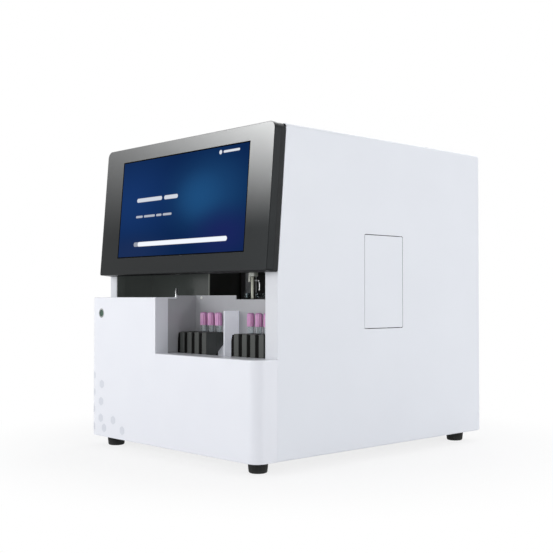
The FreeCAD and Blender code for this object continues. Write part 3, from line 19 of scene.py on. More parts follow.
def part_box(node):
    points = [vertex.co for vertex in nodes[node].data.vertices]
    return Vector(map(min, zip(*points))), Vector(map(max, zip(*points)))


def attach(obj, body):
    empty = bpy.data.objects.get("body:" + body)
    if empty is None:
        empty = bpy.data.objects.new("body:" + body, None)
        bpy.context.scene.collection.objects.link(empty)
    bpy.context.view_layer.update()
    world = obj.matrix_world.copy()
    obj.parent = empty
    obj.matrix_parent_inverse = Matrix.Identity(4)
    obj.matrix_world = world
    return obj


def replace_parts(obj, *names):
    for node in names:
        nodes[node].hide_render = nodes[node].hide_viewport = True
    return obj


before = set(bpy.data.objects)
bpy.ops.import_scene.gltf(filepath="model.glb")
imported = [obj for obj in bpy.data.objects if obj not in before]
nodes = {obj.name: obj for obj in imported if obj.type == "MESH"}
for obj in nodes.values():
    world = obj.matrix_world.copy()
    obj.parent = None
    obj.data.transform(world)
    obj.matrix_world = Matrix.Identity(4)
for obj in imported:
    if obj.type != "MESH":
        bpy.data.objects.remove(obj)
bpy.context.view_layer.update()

print("CAD nodes:", len(nodes))

# %% [markdown]
# ## Colour and size
#
# Colours are picked as sRGB hex values, the way a paint chart or a picture gives them. Blender
# mixes light in linear values, so one function turns the first into the second. Sizes are in
# millimetres, because such a machine is drawn in them, and one constant turns them into metres.

# %% Colour and size
MM = 0.001


def shade(text):
    """A linear RGBA colour from an sRGB hex value."""
    parts = [int(text[start : start + 2], 16) / 255 for start in (1, 3, 5)]
    linear = [c / 12.92 if c <= 0.04045 else ((c + 0.055) / 1.055) ** 2.4 for c in parts]
    return (*linear, 1.0)


def box(node):
    """Lowest corner, highest corner and centre of a CAD node."""
    low, high = (Vector(corner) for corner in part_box(node))
    return low, high, (low + high) / 2


shell_low, shell_high, shell_middle = box("housing_shell")
print("housing", [round(side / MM) for side in shell_high - shell_low], "mm")

# %% [markdown]
# ## Building a finish
#
# A finish is a small tree of nodes that ends in one Principled shader. One function adds any node
# with its settings. An input is either a plain value or an output of another node, and inputs
# that share a name are called by their number.

# %% Nodes
def feed(tree, node, inputs):
    """Sets a node's inputs to values, or links them to other nodes' outputs."""
    for key, value in inputs.items():
        if isinstance(value, bpy.types.NodeSocket):
            tree.links.new(value, node.inputs[key])
        else:
            node.inputs[key].default_value = value


def add(tree, kind, inputs=None, **settings):
    """Adds a node with its settings and inputs, and returns its outputs."""
    node = tree.nodes.new("ShaderNode" + kind)
    for name, value in settings.items():
        setattr(node, name, value)
    feed(tree, node, inputs or {})
    return node.outputs


def finish(name):
    """A new material, its tree and its Principled shader."""
    material = bpy.data.materials.new(name)
    material.use_nodes = True
    return material, material.node_tree, material.node_tree.nodes["Principled BSDF"]


def dress(material, *names):
    """Gives CAD nodes one finish."""
    for name in names:
        nodes[name].data.materials.clear()
        nodes[name].data.materials.append(material)
    print(material.name, "on", names[0], "and", len(names) - 1, "more")


# %% [markdown]
# Five patterns come back in most finishes: a soft random value, a colour that drifts, a value
# that drifts, a raised grain, and a block of space with its own finish. All of them read the
# point on the piece in metres, so a pattern keeps its real size on every part and stays put when
# the part moves.

# %% Patterns
def patches(tree, size_mm, detail=2.0, stretch=(1, 1, 1)):
    """A soft random value whose patches are this large."""
    place = add(tree, "Mapping", {"Vector": add(tree, "TexCoord")["Object"], "Scale": stretch})
    noise = {"Vector": place[0], "Scale": 1 / (size_mm * MM), "Detail": detail}
    return add(tree, "TexNoise", noise)[0]


def drift(tree, size_mm, first, second):
    """A colour that drifts between two."""
    mixed = {0: patches(tree, size_mm, 1.0), 6: shade(first), 7: shade(second)}
    return add(tree, "Mix", mixed, data_type="RGBA")[2]


def uneven(tree, size_mm, low, high):
    """A value that drifts between two. The noise seldom leaves the range from 0.3 to 0.7."""
    return add(tree, "MapRange", {0: patches(tree, size_mm), 1: 0.3, 2: 0.7, 3: low, 4: high})[0]


def grain(tree, size_mm, depth_mm, strength=0.3, stretch=(1, 1, 1)):
    """A raised grain, as a normal."""
    height = patches(tree, size_mm, 2.0, stretch)
    bump = {"Height": height, "Distance": depth_mm * MM, "Strength": strength}
    return add(tree, "Bump", bump)[0]


def inside(tree, low, high):
    """1 at points between two corners, 0 elsewhere."""
    place = add(tree, "SeparateXYZ", {0: add(tree, "TexCoord")["Object"]})
    value = 1.0
    for axis in range(3):
        middle, half = (low[axis] + high[axis]) / 2, (high[axis] - low[axis]) / 2
        test = add(tree, "Math", {0: place[axis], 1: middle, 2: half}, operation="COMPARE")[0]
        value = add(tree, "Math", {0: value, 1: test}, operation="MULTIPLY")[0]
    return value


def painted(tree, colour, low, high, other):
    """The colour, with another one between two corners."""
    mixed = {0: inside(tree, low, high), 6: colour, 7: shade(other)}
    return add(tree, "Mix", mixed, data_type="RGBA")[2]


# %% [markdown]
# ## White powder coat
#
# The housing is 1.5 mm steel sheet with a baked powder coat. Powder melts into a skin that is
# never quite flat, so a raking light shows a fine orange peel. The real peel is about 1 mm wide.
# It is drawn at 3 mm so that it shows at this distance. The coat is a cool white and satin. The
# frame around the bay opening has a greyer copy of it, which is painted shade.
#
# Inside, the housing lies in deep shade, and that shade is painted: its inner faces are nearly
# black. They are part of the same node, so the finish asks which way a face looks: one that looks
# towards the middle of the housing is an inner face.

# %% Powder coat
COAT_WHITE = ("#e9ecf2", "#e5e8ee")
COAT_WHITE_SHADED = ("#dcdee3", "#d8dadf")
INSIDE_SHADE = "#1b1c1a"
PEEL_MM = 3


def looks_in(tree, middle):
    """1 on faces that look towards the middle, 0 on faces that look away from it."""
    here = add(tree, "TexCoord")
    away = add(tree, "VectorMath", {0: here["Object"], 1: middle}, operation="SUBTRACT")[0]
    both = {0: away, 1: here["Normal"]}
    outwards = add(tree, "VectorMath", both, operation="DOT_PRODUCT")["Value"]
    return add(tree, "Math", {0: outwards, 1: 0.0}, operation="LESS_THAN")[0]


def powder_coat(name, light, dark, middle=None):
    """Satin powder coat, with painted shade on the faces that look to the middle."""
    material, tree, shader = finish(name)
    colour = drift(tree, 160, light, dark)
    if middle:
        # the inner faces are painted dark, as the shade inside the housing
        inside_shade = {0: looks_in(tree, middle), 6: colour, 7: shade(INSIDE_SHADE)}
        colour = add(tree, "Mix", inside_shade, data_type="RGBA")[2]
    feed(tree, shader, {"Base Color": colour, "Roughness": uneven(tree, 30, 0.38, 0.46)})
    feed(tree, shader, {"Specular IOR Level": 0.4, "Normal": grain(tree, PEEL_MM, 0.02)})
    return material


dress(powder_coat("powder_coat_shaded_inside", *COAT_WHITE, shell_middle), "housing_shell")
dress(powder_coat("powder_coat_white", *COAT_WHITE), "rear_panel", "hatch_door")
# the frame's greyer coat is painted shade
dress(powder_coat("powder_coat_white_shaded", *COAT_WHITE_SHADED), "front_frame")

# %% [markdown]
# ## Moulded plastics
#
# The front cover is one large ABS moulding. Its mould was spark-eroded, which leaves an even fine
# texture, and a thin clear lacquer over it draws a bright line down each corner. The real texture
# is some tenths of a millimetre. It is drawn at 1.6 mm so that it shows, and the fine grain of
# rubber, caps, lids and ink at 1.5 mm for the same reason.
#
# Racks, sockets and fan are moulded too. Sprayed satin paint and turned plastic look much alike
# from this far. They all differ only in colour and shine, so one recipe makes them.

# %% Satin recipe
TEXTURE_MM = 1.6


def satin(name, light, dark, roughness, specular=0.5):
    """An evenly textured satin surface: moulded or turned plastic, or sprayed paint."""
    material, tree, shader = finish(name)
    shine = uneven(tree, 12, roughness - 0.04, roughness + 0.05)
    feed(tree, shader, {"Base Color": drift(tree, 90, light, dark), "Roughness": shine})
    feed(tree, shader, {"IOR": 1.53, "Specular IOR Level": specular})
    feed(tree, shader, {"Normal": grain(tree, TEXTURE_MM, 0.03)})
    return material


def lacquered_cover():
    """White ABS under clear lacquer, which lays a bright line on each rounded corner."""
    material = satin("abs_lacquered_white", "#ebedf3", "#e7e9f0", 0.45)
    shader = material.node_tree.nodes["Principled BSDF"]
    feed(material.node_tree, shader, {"Coat Weight": 0.6, "Coat Roughness": 0.16})
    return material


def guide_with_painted_glow():
    """Natural polyamide sheet with a painted glow, which lifts it out of the bay's shade."""
    material = satin("polyamide_sheet_painted_glow", "#eef0f5", "#e6e9ef", 0.38)
    shader = material.node_tree.nodes["Principled BSDF"]
    # painted glow, which brightens the guide where it stands in shade
    light = {"Emission Color": shade("#e4e8f2"), "Emission Strength": 0.24}
    feed(material.node_tree, shader, light)
    return material


# %% [markdown]
# Each piece then gets the plastic or paint that it is made of. The colours of what the picture
# shows are matched to it, and the hidden pieces have the colours that such parts are sold in.

# %% Satin pieces
racks = [f"sample_rack_{n}" for n in range(1, 9)]
dress(lacquered_cover(), "front_cover")
dress(guide_with_painted_glow(), "rack_guide")
# undyed polyamide is a milky off-white
dress(satin("polyamide_moulded_pale", "#eceef2", "#e2e5ea", 0.38), "wash_well")
# PEEK, left undyed and turned, is a pale greenish grey
dress(satin("peek_turned_natural", "#e6e8df", "#dcdfd6", 0.4), "probe")
# acetal is waxy, so the charcoal racks shine little
dress(satin("acetal_moulded_charcoal", "#3d403d", "#343735", 0.42, specular=0.35), *racks)
# the lanes lie deep in the bay; their matt black is darker than plastic, as painted shade
dress(satin("abs_black_painted_shade", "#020202", "#010101", 0.6, specular=0.06), "lane_floor")
# the display's back is matt charcoal, close to the lacquer in front of it
charcoal = satin("abs_moulded_charcoal", "#282a2b", "#242627", 0.45, specular=0.1)
dress(charcoal, "display_back")
# glass-filled PBT has a dry look, and is smoother where a finger or the air runs over it
dry_black = satin("pbt_moulded_black", "#1b1c1c", "#141515", 0.42)
dress(dry_black, "power_inlet", "switch_frame", "fan_frame")
dress(satin("pbt_moulded_smooth", "#232424", "#1c1d1d", 0.28), "rocker_switch", "fan_rotor")
# what lies inside is steel painted dull black, and its black also paints the shade in the housing
dress(satin("steel_black_and_painted_shade", "#131414", "#0e0f0f", 0.55), "process_deck", "bottle_bay")
black_casting = satin("aluminium_painted_black", "#202222", "#181919", 0.5)
dress(black_casting, "incubator_rotor", "light_detector")

# %% [markdown]
# ## Rubber
#
# The feet are black moulded rubber, matt and nearly without a highlight. Dust settles in it and
# turns it slightly grey low down, so the colour follows the height above the bench.

# %% Rubber feet
DUST_HIGH = 14 * MM


def foot_rubber():
    """Black rubber, a little dusty near the bench."""
    material, tree, shader = finish("rubber_moulded_black")
    height = add(tree, "SeparateXYZ", {0: add(tree, "TexCoord")["Object"]})[2]
    low = add(tree, "MapRange", {0: height, 1: 0.0, 2: DUST_HIGH, 3: 0.3, 4: 0.0})[0]
    dust = add(tree, "Math", {0: low, 1: patches(tree, 6, 4.0)}, operation="MULTIPLY")[0]
    mixed = {0: dust, 6: shade("#0d0f0e"), 7: shade("#454644")}
    colour = add(tree, "Mix", mixed, data_type="RGBA")[2]
    feed(tree, shader, {"Base Color": colour, "Roughness": 0.72, "Specular IOR Level": 0.35})
    feed(tree, shader, {"Normal": grain(tree, 1.5, 0.05, 0.4)})
    return material


feet = ["foot_front_left", "foot_front_right", "foot_rear_left", "foot_rear_right"]
dress(foot_rubber(), *feet)

# %% [markdown]
# ## Lacquered display frame
#
# The display's frame is sprayed with a charcoal metallic lacquer, and a reflection is painted over
# it: the colour stays charcoal along the foot and turns to silver at the upper right corner, and
# the frame's right side stays charcoal. The painted reflection is worked out from the height and
# the width on the frame, so that both can have their own curve. Fine flakes under a clear coat
# give a satin glint. Real flakes are far too small to see, so these are 1.2 mm.

# %% Metallic lacquer with painted reflection
rim_low, rim_high, _ = box("display_bezel")
REFLECTION_START = 0.28  # as a share of the frame's height
REFLECTION_CURVE = 1.55
SIDEWAYS_CURVE = 1.3
REFLECTION_LEFT = 0.19
MORE_REFLECTION_RIGHT = 0.42
REFLECTION_AT, CHARCOAL_AT = 0.35, 0.75  # how far a face looks sideways
FLAKE_MM = 1.2


def lacquer_with_painted_reflection():
    """Charcoal lacquer with a painted reflection that turns it silver up and to the right."""
    material, tree, shader = finish("lacquer_painted_reflection")
    across, _, up = add(tree, "SeparateXYZ", {0: add(tree, "TexCoord")["Object"]})
    start = rim_low.z + (rim_high.z - rim_low.z) * REFLECTION_START
    rise = add(tree, "MapRange", {0: up, 1: start, 2: rim_high.z, 3: 0.0, 4: 1.0})[0]
    rise = add(tree, "Math", {0: rise, 1: REFLECTION_CURVE}, operation="POWER")[0]
    right = add(tree, "MapRange", {0: across, 1: rim_low.x, 2: rim_high.x, 3: 0.0, 4: 1.0})[0]
    right = add(tree, "Math", {0: right, 1: SIDEWAYS_CURVE}, operation="POWER")[0]
    more = {0: right, 1: MORE_REFLECTION_RIGHT, 2: REFLECTION_LEFT}
    silver = add(tree, "Math", more, operation="MULTIPLY_ADD")[0]
    sideways = add(tree, "SeparateXYZ", {0: add(tree, "NewGeometry")["Normal"]})[0]
    turned_away = {0: sideways, 1: CHARCOAL_AT, 2: REFLECTION_AT, 3: 0.0, 4: 1.0}
    front = add(tree, "MapRange", turned_away)[0]
    amount = add(tree, "Math", {0: rise, 1: silver}, operation="MULTIPLY")[0]
    amount = add(tree, "Math", {0: amount, 1: front}, operation="MULTIPLY")[0]
    # painted reflection: silver over the charcoal, kept off the sideways faces
    faded = {0: amount, 6: drift(tree, FLAKE_MM, "#1c1e1f", "#222425"), 7: shade("#dcdddd")}
    colour = add(tree, "Mix", faded, data_type="RGBA")[2]
    shine = uneven(tree, 40, 0.36, 0.42)
    feed(tree, shader, {"Base Color": colour, "Metallic": 0.7, "Roughness": shine})
    feed(tree, shader, {"Coat Weight": 0.03, "Coat Roughness": 0.25, "Specular IOR Level": 0.12})
    feed(tree, shader, {"Normal": grain(tree, FLAKE_MM, 0.01, 0.15)})
    return material


dress(lacquer_with_painted_reflection(), "display_bezel")

# %% [markdown]
# ## The lit screen
#
# The panel shows a start screen: a blue field with a soft glow, and plain bars for a heading, a
# smaller line and the progress. Drawing it with nodes keeps it sharp at any size. It is drawn in
# millimetres from the pane's lower left corner, so first that corner and the pane's lean are read
# from its mesh.

# %% Find the pane
def pane_of(node):
    """Lower left corner, width and upright edge of a tilted pane's front face."""
    mesh = nodes[node].data
    faces = [face for face in mesh.polygons if face.normal.y < -0.5]
    front = max(faces, key=lambda face: face.area)
    level = front.normal.dot(front.center)
    corners = [v.co for v in mesh.vertices if abs(front.normal.dot(v.co) - level) < 0.01 * MM]
    left = min(corners, key=lambda c: c.x + c.z)
    right = max(corners, key=lambda c: c.x - c.z)
    top = min(corners, key=lambda c: c.x - c.z)
    return left.copy(), (right - left).length, top - left


pane_corner, pane_wide, pane_rise = pane_of("touch_glass")
pane_high = pane_rise.length
pane_lean = math.atan2(pane_rise.y, pane_rise.z)
print(f"screen {pane_wide / MM:.0f} x {pane_high / MM:.0f} mm")
print(f"it leans {math.degrees(pane_lean):.1f} degrees")

# %% [markdown]
# A bar with round ends is the set of points near a line, and a glow falls off with the distance
# from its centre. Both are sums on the two coordinates of the picture.

# %% Bars and glows
BLUR_MM = 0.6


def bar(tree, across, up, left, low, long, thick):
    """1 inside a bar with round ends, 0 outside. Sizes are in millimetres."""
    radius = thick / 2
    ends = {"Value": across, "Min": (left + radius) * MM, "Max": (left + long - radius) * MM}
    nearest = add(tree, "Clamp", ends)[0]
    beside = add(tree, "Math", {0: across, 1: nearest}, operation="SUBTRACT")[0]
    above = add(tree, "Math", {0: up, 1: (low + radius) * MM}, operation="SUBTRACT")[0]
    offset = add(tree, "CombineXYZ", {0: beside, 1: above})[0]
    reach = add(tree, "VectorMath", {0: offset}, operation="LENGTH")["Value"]
    soft = {0: reach, 1: (radius + BLUR_MM) * MM, 2: (radius - BLUR_MM) * MM, 3: 0.0, 4: 1.0}
    return add(tree, "MapRange", soft)[0]


def glow(tree, picture, centre, size):
    """A soft round light on the screen, 1 at its centre. Sizes are in millimetres."""
    place = {"Location": Vector((*centre, 0)) * MM, "Scale": Vector((*size, 1000)) * MM}
    near = add(tree, "Mapping", {0: picture, **place}, vector_type="TEXTURE")[0]
    reach = add(tree, "VectorMath", {0: near}, operation="LENGTH")["Value"]
    fall = {0: reach, 1: 1.0, 2: 0.0, 3: 0.0, 4: 1.0}
    return add(tree, "MapRange", fall, interpolation_type="SMOOTHSTEP")[0]


# %% [markdown]
# The glass has an anti-reflection coat, so hardly any of the room shows in it and the blue stays
# deep. Its rim is printed black where the picture ends. Glows and bars are lists, so that one loop
# draws each kind.

# %% Screen layout
SCREEN_BLUE = "#02224e"
SCREEN_GLOWS = [
    # centre, size, colour
    ((40, 130), (260, 150), "#0c3167"),
    ((325, 130), (200, 120), "#154270"),
    ((290, 125), (100, 70), "#184a7a"),
    ((380, 40), (150, 80), "#15225a"),
    ((60, 10), (200, 60), "#142a55"),
]
SCREEN_BARS = [
    # left, bottom, length, thickness, brightness
    (64, 127, 96, 9, 0.72),
    (168, 127, 50, 9, 0.72),
    (64, 91, 26, 5, 0.5),
    (95, 91, 42, 5, 0.5),
    (142, 91, 20, 5, 0.5),
    (167, 91, 32, 5, 0.5),
    (352, 208, 9, 9, 0.8),
    (366, 210, 52, 5, 0.8),
    (62, 25, 332, 10, 0.35),
    (78, 25, 316, 10, 1.0),
]
PRINTED_RIM = 2.5 * MM
print("screen:", len(SCREEN_GLOWS), "glows and", len(SCREEN_BARS), "bars")

# %% [markdown]
# The pane's own corner and lean turn each point on the glass into a place in the picture. Every
# glow and bar is then laid over the colour before it, as sheets are laid on each other.

# %% Screen finish
def lit_screen():
    """Coated glass over a lit panel with a start screen."""
    material, tree, shader = finish("glass_coated_lit")
    place = {"Location": pane_corner, "Rotation": (-pane_lean, 0, 0)}
    here = add(tree, "TexCoord")["Object"]
    flat = add(tree, "Mapping", {0: here, **place}, vector_type="TEXTURE")[0]
    across, _, up = add(tree, "SeparateXYZ", {0: flat})
    picture = add(tree, "CombineXYZ", {0: across, 1: up})[0]
    colour = shade(SCREEN_BLUE)
    for centre, size, tone in SCREEN_GLOWS:
        light = {0: glow(tree, picture, centre, size), 6: colour, 7: shade(tone)}
        colour = add(tree, "Mix", light, data_type="RGBA")[2]
    for left, low, long, thick, bright in SCREEN_BARS:
        drawn = bar(tree, across, up, left, low, long, thick)
        amount = add(tree, "Math", {0: drawn, 1: bright}, operation="MULTIPLY")[0]
        lit = {0: amount, 6: colour, 7: shade("#f4f8ff")}
        colour = add(tree, "Mix", lit, data_type="RGBA")[2]
    wide = {0: across, 1: pane_wide / 2, 2: pane_wide / 2 - PRINTED_RIM}
    tall = {0: up, 1: pane_high / 2, 2: pane_high / 2 - PRINTED_RIM}
    in_width = add(tree, "Math", wide, operation="COMPARE")[0]
    in_height = add(tree, "Math", tall, operation="COMPARE")[0]
    shown = add(tree, "Math", {0: in_width, 1: in_height}, operation="MULTIPLY")[0]
    framed = {0: shown, 6: shade("#030405"), 7: colour}
    colour = add(tree, "Mix", framed, data_type="RGBA")[2]
    coated = {"Base Color": shade("#020305"), "Roughness": 0.15, "Specular IOR Level": 0.01}
    feed(tree, shader, coated)
    feed(tree, shader, {"Emission Color": colour, "Emission Strength": 1.0})
    return material


dress(lit_screen(), "touch_glass")

# %% [markdown]
# ## Bay paint
#
# The bay is lined with sheet in grey semi-gloss paint. It is smoother than the housing's coat, so
# it faintly mirrors the lilac caps.

# %% Bay paint
def bay_paint():
    """Grey semi-gloss paint."""
    material, tree, shader = finish("paint_sprayed_grey")
    feed(tree, shader, {"Base Color": drift(tree, 60, "#aeafb3", "#a3a4a8"), "Roughness": 0.24})
    feed(tree, shader, {"Normal": grain(tree, 3, 0.02, 0.2)})
    return material


dress(bay_paint(), "bay_liner")

# %% [markdown]
# ## Metals
#
# The gantry is anodised aluminium: etching before the bath leaves it matt, with a drawn grain
# along each profile. The base tray is galvanised, and its zinc crystals show as a spangle of about
# 9 mm, which cells of that size give. Small parts are turned from stainless steel, which is
# brighter. Real tool marks and drawing lines are hair-fine, so they are drawn about 1 mm wide.

# %% Aluminium, zinc and steel
SPANGLE = 9 * MM


def anodised(name, *zones):
    """Matt anodised aluminium. Each zone is two corners and the colour of what lies between."""
    material, tree, shader = finish(name)
    colour = drift(tree, 2, "#bfc1c3", "#aeb0b3")
    for low, high, other in zones:
        colour = painted(tree, colour, low, high, other)
    shine = uneven(tree, 1.5, 0.34, 0.44)
    feed(tree, shader, {"Base Color": colour, "Metallic": 1.0, "Roughness": shine})
    feed(tree, shader, {"Normal": grain(tree, 1.2, 0.01, 0.2, (0.06, 1, 1))})
    return material


def galvanised():
    """Zinc-coated sheet with spangle."""
    material, tree, shader = finish("steel_galvanised")
    place = {"Vector": add(tree, "TexCoord")["Object"], "Scale": 1 / SPANGLE}
    cells = add(tree, "TexVoronoi", place)
    tone = add(tree, "SeparateColor", {0: cells["Color"]})[0]
    mixed = {0: tone, 6: shade("#a7aaac"), 7: shade("#c3c6c8")}
    colour = add(tree, "Mix", mixed, data_type="RGBA")[2]
    rough = add(tree, "MapRange", {0: tone, 3: 0.34, 4: 0.5})[0]
    feed(tree, shader, {"Base Color": colour, "Metallic": 1.0, "Roughness": rough})
    return material


def turned(name, colour, roughness):
    """Bare metal with fine tool marks."""
    material, tree, shader = finish(name)
    shine = uneven(tree, 0.8, roughness - 0.05, roughness + 0.06)
    feed(tree, shader, {"Base Color": shade(colour), "Metallic": 1.0, "Roughness": shine})
    feed(tree, shader, {"Normal": grain(tree, 0.8, 0.005, 0.2)})
    return material


steel = turned("stainless_steel_turned", "#b9bbbc", 0.25)
dress(steel, "hatch_pins", "button_ring")
dress(galvanised(), "base_tray", "lcd_panel", "power_supply")
dress(anodised("aluminium_anodised"), "y_arm", "incubator_base")

# %% [markdown]
# The belt, the motors and the probe's sleeve are part of the gantry's nodes, so each is painted by
# its place: between two corners, the aluminium gives way to black rubber, black motor housings
# or the sleeve's grey-green plastic. The corners follow the boxes of the pieces.

# %% Belt, motors and sleeve
RUBBER_BLACK = "#161717"
SLEEVE_PLASTIC = "#8e9086"
PULLEY_HIGH = 10 * MM
BEAM_HIGH = 40 * MM
BELT_OVER_BEAM = 2.4 * MM
BELT_UNDER_TOP = 1.5 * MM
MOTOR_HIGH = 38 * MM
MOTOR_FROM, MOTOR_TO = (-270 * MM, 90 * MM), (-210 * MM, 150 * MM)
SMALL_MOTOR_DEEP = 29 * MM
portal_low, portal_high, _ = box("gantry_portal")
beam_top = portal_high.z - PULLEY_HIGH
beam_foot = beam_top - BEAM_HIGH
belt_low = Vector((portal_low.x, portal_low.y, beam_top + BELT_OVER_BEAM))
belt_high = portal_high - Vector((0, 0, BELT_UNDER_TOP))
motor_low = Vector((*MOTOR_FROM, beam_foot - MOTOR_HIGH))
motor_high = Vector((*MOTOR_TO, beam_foot))
belt_drive = [(belt_low, belt_high, RUBBER_BLACK), (motor_low, motor_high, RUBBER_BLACK)]
carriage_low, carriage_high, _ = box("x_carriage")
arm_motor_high = Vector((carriage_high.x, carriage_low.y + SMALL_MOTOR_DEEP, 1))
column_low, column_high, _ = box("z_column")
lift_motor_low = Vector((-1, column_high.y - SMALL_MOTOR_DEEP, 0))
arm_low, _, _ = box("y_arm")
sleeve_high = Vector((column_high.x, column_high.y, arm_low.z))
print("beam from", round(beam_foot / MM), "to", round(beam_top / MM), "mm")

arm_motor = (carriage_low, arm_motor_high, RUBBER_BLACK)
lift_motor = (lift_motor_low, column_high, RUBBER_BLACK)
sleeve = (column_low, sleeve_high, SLEEVE_PLASTIC)
dress(anodised("aluminium_anodised_belt_drive", *belt_drive), "gantry_portal")
dress(anodised("aluminium_anodised_arm_drive", arm_motor), "x_carriage")
dress(anodised("aluminium_anodised_lift", lift_motor, sleeve), "z_column")

# %% [markdown]
# ## Plastics that let light through
#
# The tubes are clear PET, whose walls are slightly wavy from blowing. The smoked panel is tinted
# acrylic: it is nearly black from outside, with a paler cut edge. A lamp works behind it, and a
# little emission stands for the light that seeps through. That is quicker and steadier than a
# really clear sheet in front of a dark room.

# %% Clear and smoked plastic
CUT_EDGE = 2 * MM


def clear_plastic(name):
    """Clear plastic with slightly wavy walls."""
    material, tree, shader = finish(name)
    colour = drift(tree, 30, "#f2f6f7", "#e9eff1")
    feed(tree, shader, {"Base Color": colour, "Roughness": 0.06, "IOR": 1.57})
    feed(tree, shader, {"Transmission Weight": 1.0, "Normal": grain(tree, 25, 0.02, 0.15)})
    return material


def smoked_acrylic():
    """Tinted acrylic sheet with a work lamp behind it, paler along its cut edge."""
    material, tree, shader = finish("acrylic_smoked_sheet")
    _, high, _ = box("smoked_panel")
    edge = (Vector((high.x - CUT_EDGE, -1, 0)), Vector((1, 1, 1)))
    colour = painted(tree, drift(tree, 80, "#414543", "#3a3e3c"), *edge, "#6c6f6b")
    feed(tree, shader, {"Base Color": colour, "Roughness": 0.2})
    feed(tree, shader, {"IOR": 1.49, "Specular IOR Level": 0.4})
    feed(tree, shader, {"Emission Color": colour, "Emission Strength": 0.35})
    feed(tree, shader, {"Normal": grain(tree, 60, 0.05, 0.1)})
    return material


smoked = smoked_acrylic()
dress(smoked, "smoked_panel")
dress(clear_plastic("pet_clear_blown"), *(f"sample_tube_{n}" for n in range(1, 7)))

# %% [markdown]
# The bottles are blown from natural polyethylene, milky and soft to look at because light spreads
# inside the wall. Their lids are part of the same node and blue. The power button is dark green
# polycarbonate with a faint light behind it.

# %% Milky and green plastic
BOTTLE_LID_HIGH = 18 * MM


def milky_bottle():
    """Blown polyethylene with a blue lid."""
    material, tree, shader = finish("polyethylene_blown_natural")
    _, high, _ = box("reagent_bottle_1")
    lid = (Vector((-1, -1, high.z - BOTTLE_LID_HIGH)), Vector((1, 1, 1)))
    colour = painted(tree, drift(tree, 25, "#dfe2df", "#d3d8d6"), *lid, "#2c5c94")
    feed(tree, shader, {"Base Color": colour, "Roughness": 0.34, "Subsurface Weight": 0.15})
    feed(tree, shader, {"Normal": grain(tree, 5, 0.05)})
    return material


def green_button():
    """Dark green polycarbonate, faintly lit."""
    material, tree, shader = finish("polycarbonate_moulded_green")
    colour = drift(tree, 4, "#1c4a34", "#153b2a")
    feed(tree, shader, {"Base Color": colour, "Roughness": 0.25, "IOR": 1.58})
    feed(tree, shader, {"Emission Color": colour, "Emission Strength": 0.12})
    return material


dress(milky_bottle(), "reagent_bottle_1", "reagent_bottle_2")
dress(green_button(), "power_button")

# %% [markdown]
# ## New pieces
#
# Small things are modelled here: caps with ribs, screws, printed hexagons and fittings. Each one
# starts as a bmesh shape, gets its place in its own mesh, and rides on the body that carries it.
# Faces that meet at less than 35 degrees are shaded as one smooth surface.

# %% Piece helpers
CREASE = math.radians(35)


def put(name, data):
    """Adds an object with this data to the scene."""
    obj = bpy.data.objects.new(name, data)
    bpy.context.scene.collection.objects.link(obj)
    return obj


def piece(name, shape, material, body="body"):
    """Turns a bmesh into a finished piece that rides on a CAD body."""
    bmesh.ops.recalc_face_normals(shape, faces=shape.faces)
    mesh = bpy.data.meshes.new(name)
    shape.to_mesh(mesh)
    shape.free()
    mesh.shade_smooth()
    mesh.set_sharp_from_angle(angle=CREASE)
    mesh.materials.append(material)
    obj = put(name, mesh)
    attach(obj, body)
    return obj


# %% [markdown]
# Four moves come back in many pieces, so they are written once: to extrude one face, to find the
# top face, to spin an outline as a lathe would, and to make a block with soft edges.

# %% Moves
SOFT_EDGE = {"affect": "EDGES", "segments": 3, "profile": 0.5, "material": -1}


def extruded(shape, face):
    """Extrudes a face on the spot, and returns the new face to be moved."""
    made = bmesh.ops.extrude_face_region(shape, geom=[face])["geom"]
    return next(item for item in made if isinstance(item, bmesh.types.BMFace))


def top_face(shape):
    """The highest face of a shape."""
    return max(shape.faces, key=lambda face: face.calc_center_median().z)


def spun(shape, centre, profile, steps=32):
    """Spins (radius, height) points, in millimetres, round an upright axis."""
    axis = Vector((centre.x, centre.y, 0))
    points = [shape.verts.new(axis + Vector((out, 0, up)) * MM) for out, up in profile]
    edges = [shape.edges.new(pair) for pair in zip(points, points[1:])]
    turn = {"cent": axis, "axis": (0, 0, 1), "angle": 2 * math.pi, "use_merge": True}
    bmesh.ops.spin(shape, geom=points + edges, steps=steps, **turn)
    bmesh.ops.remove_doubles(shape, verts=shape.verts, dist=0.01 * MM)


def machined_block(shape, low, high, soft):
    """A block between two corners, in millimetres, with soft edges."""
    size = Vector(high) - Vector(low)
    space = Matrix.Translation((Vector(low) + Vector(high)) / 2 * MM)
    matrix = space @ Matrix.Diagonal((*size * MM, 1))
    made = bmesh.ops.create_cube(shape, size=1.0, matrix=matrix)["verts"]
    edges = list({edge for vertex in made for edge in vertex.link_edges})
    bmesh.ops.bevel(shape, geom=edges, offset=soft * MM, **SOFT_EDGE)


# %% [markdown]
# ## Ribbed caps
#
# The lilac caps of blood tubes have ribs for a gloved hand, and a dished top that a needle goes
# through. A star-shaped circle gives the ribs, because every second point is pulled in. It is
# extruded to the shoulder, drawn in to round the edge, and inset to sink the top. The real ribs
# are finer. Twelve of them are drawn, so that they show on a cap of this size.

# %% Caps
RIBS = 12
RIB_DEEP = 0.12  # as a share of the radius
DISH_RIM = 1.6 * MM
CAP_DISH = 1.2
CAP_SHOULDER = ((0.5, 1.4), (0.9, 1.2), (1.2, 0.9))


def cap_plastic():
    """Lilac polyethylene, soft and slightly waxy, with a fresh gloss from the mould."""
    material, tree, shader = finish("polyethylene_moulded_lilac")
    feed(tree, shader, {"Base Color": drift(tree, 8, "#d79bca", "#c585b8"), "Roughness": 0.22})
    feed(tree, shader, {"Coat Weight": 0.5, "Coat Roughness": 0.08, "Subsurface Weight": 0.1})
    feed(tree, shader, {"Normal": grain(tree, 1.5, 0.02)})
    return material


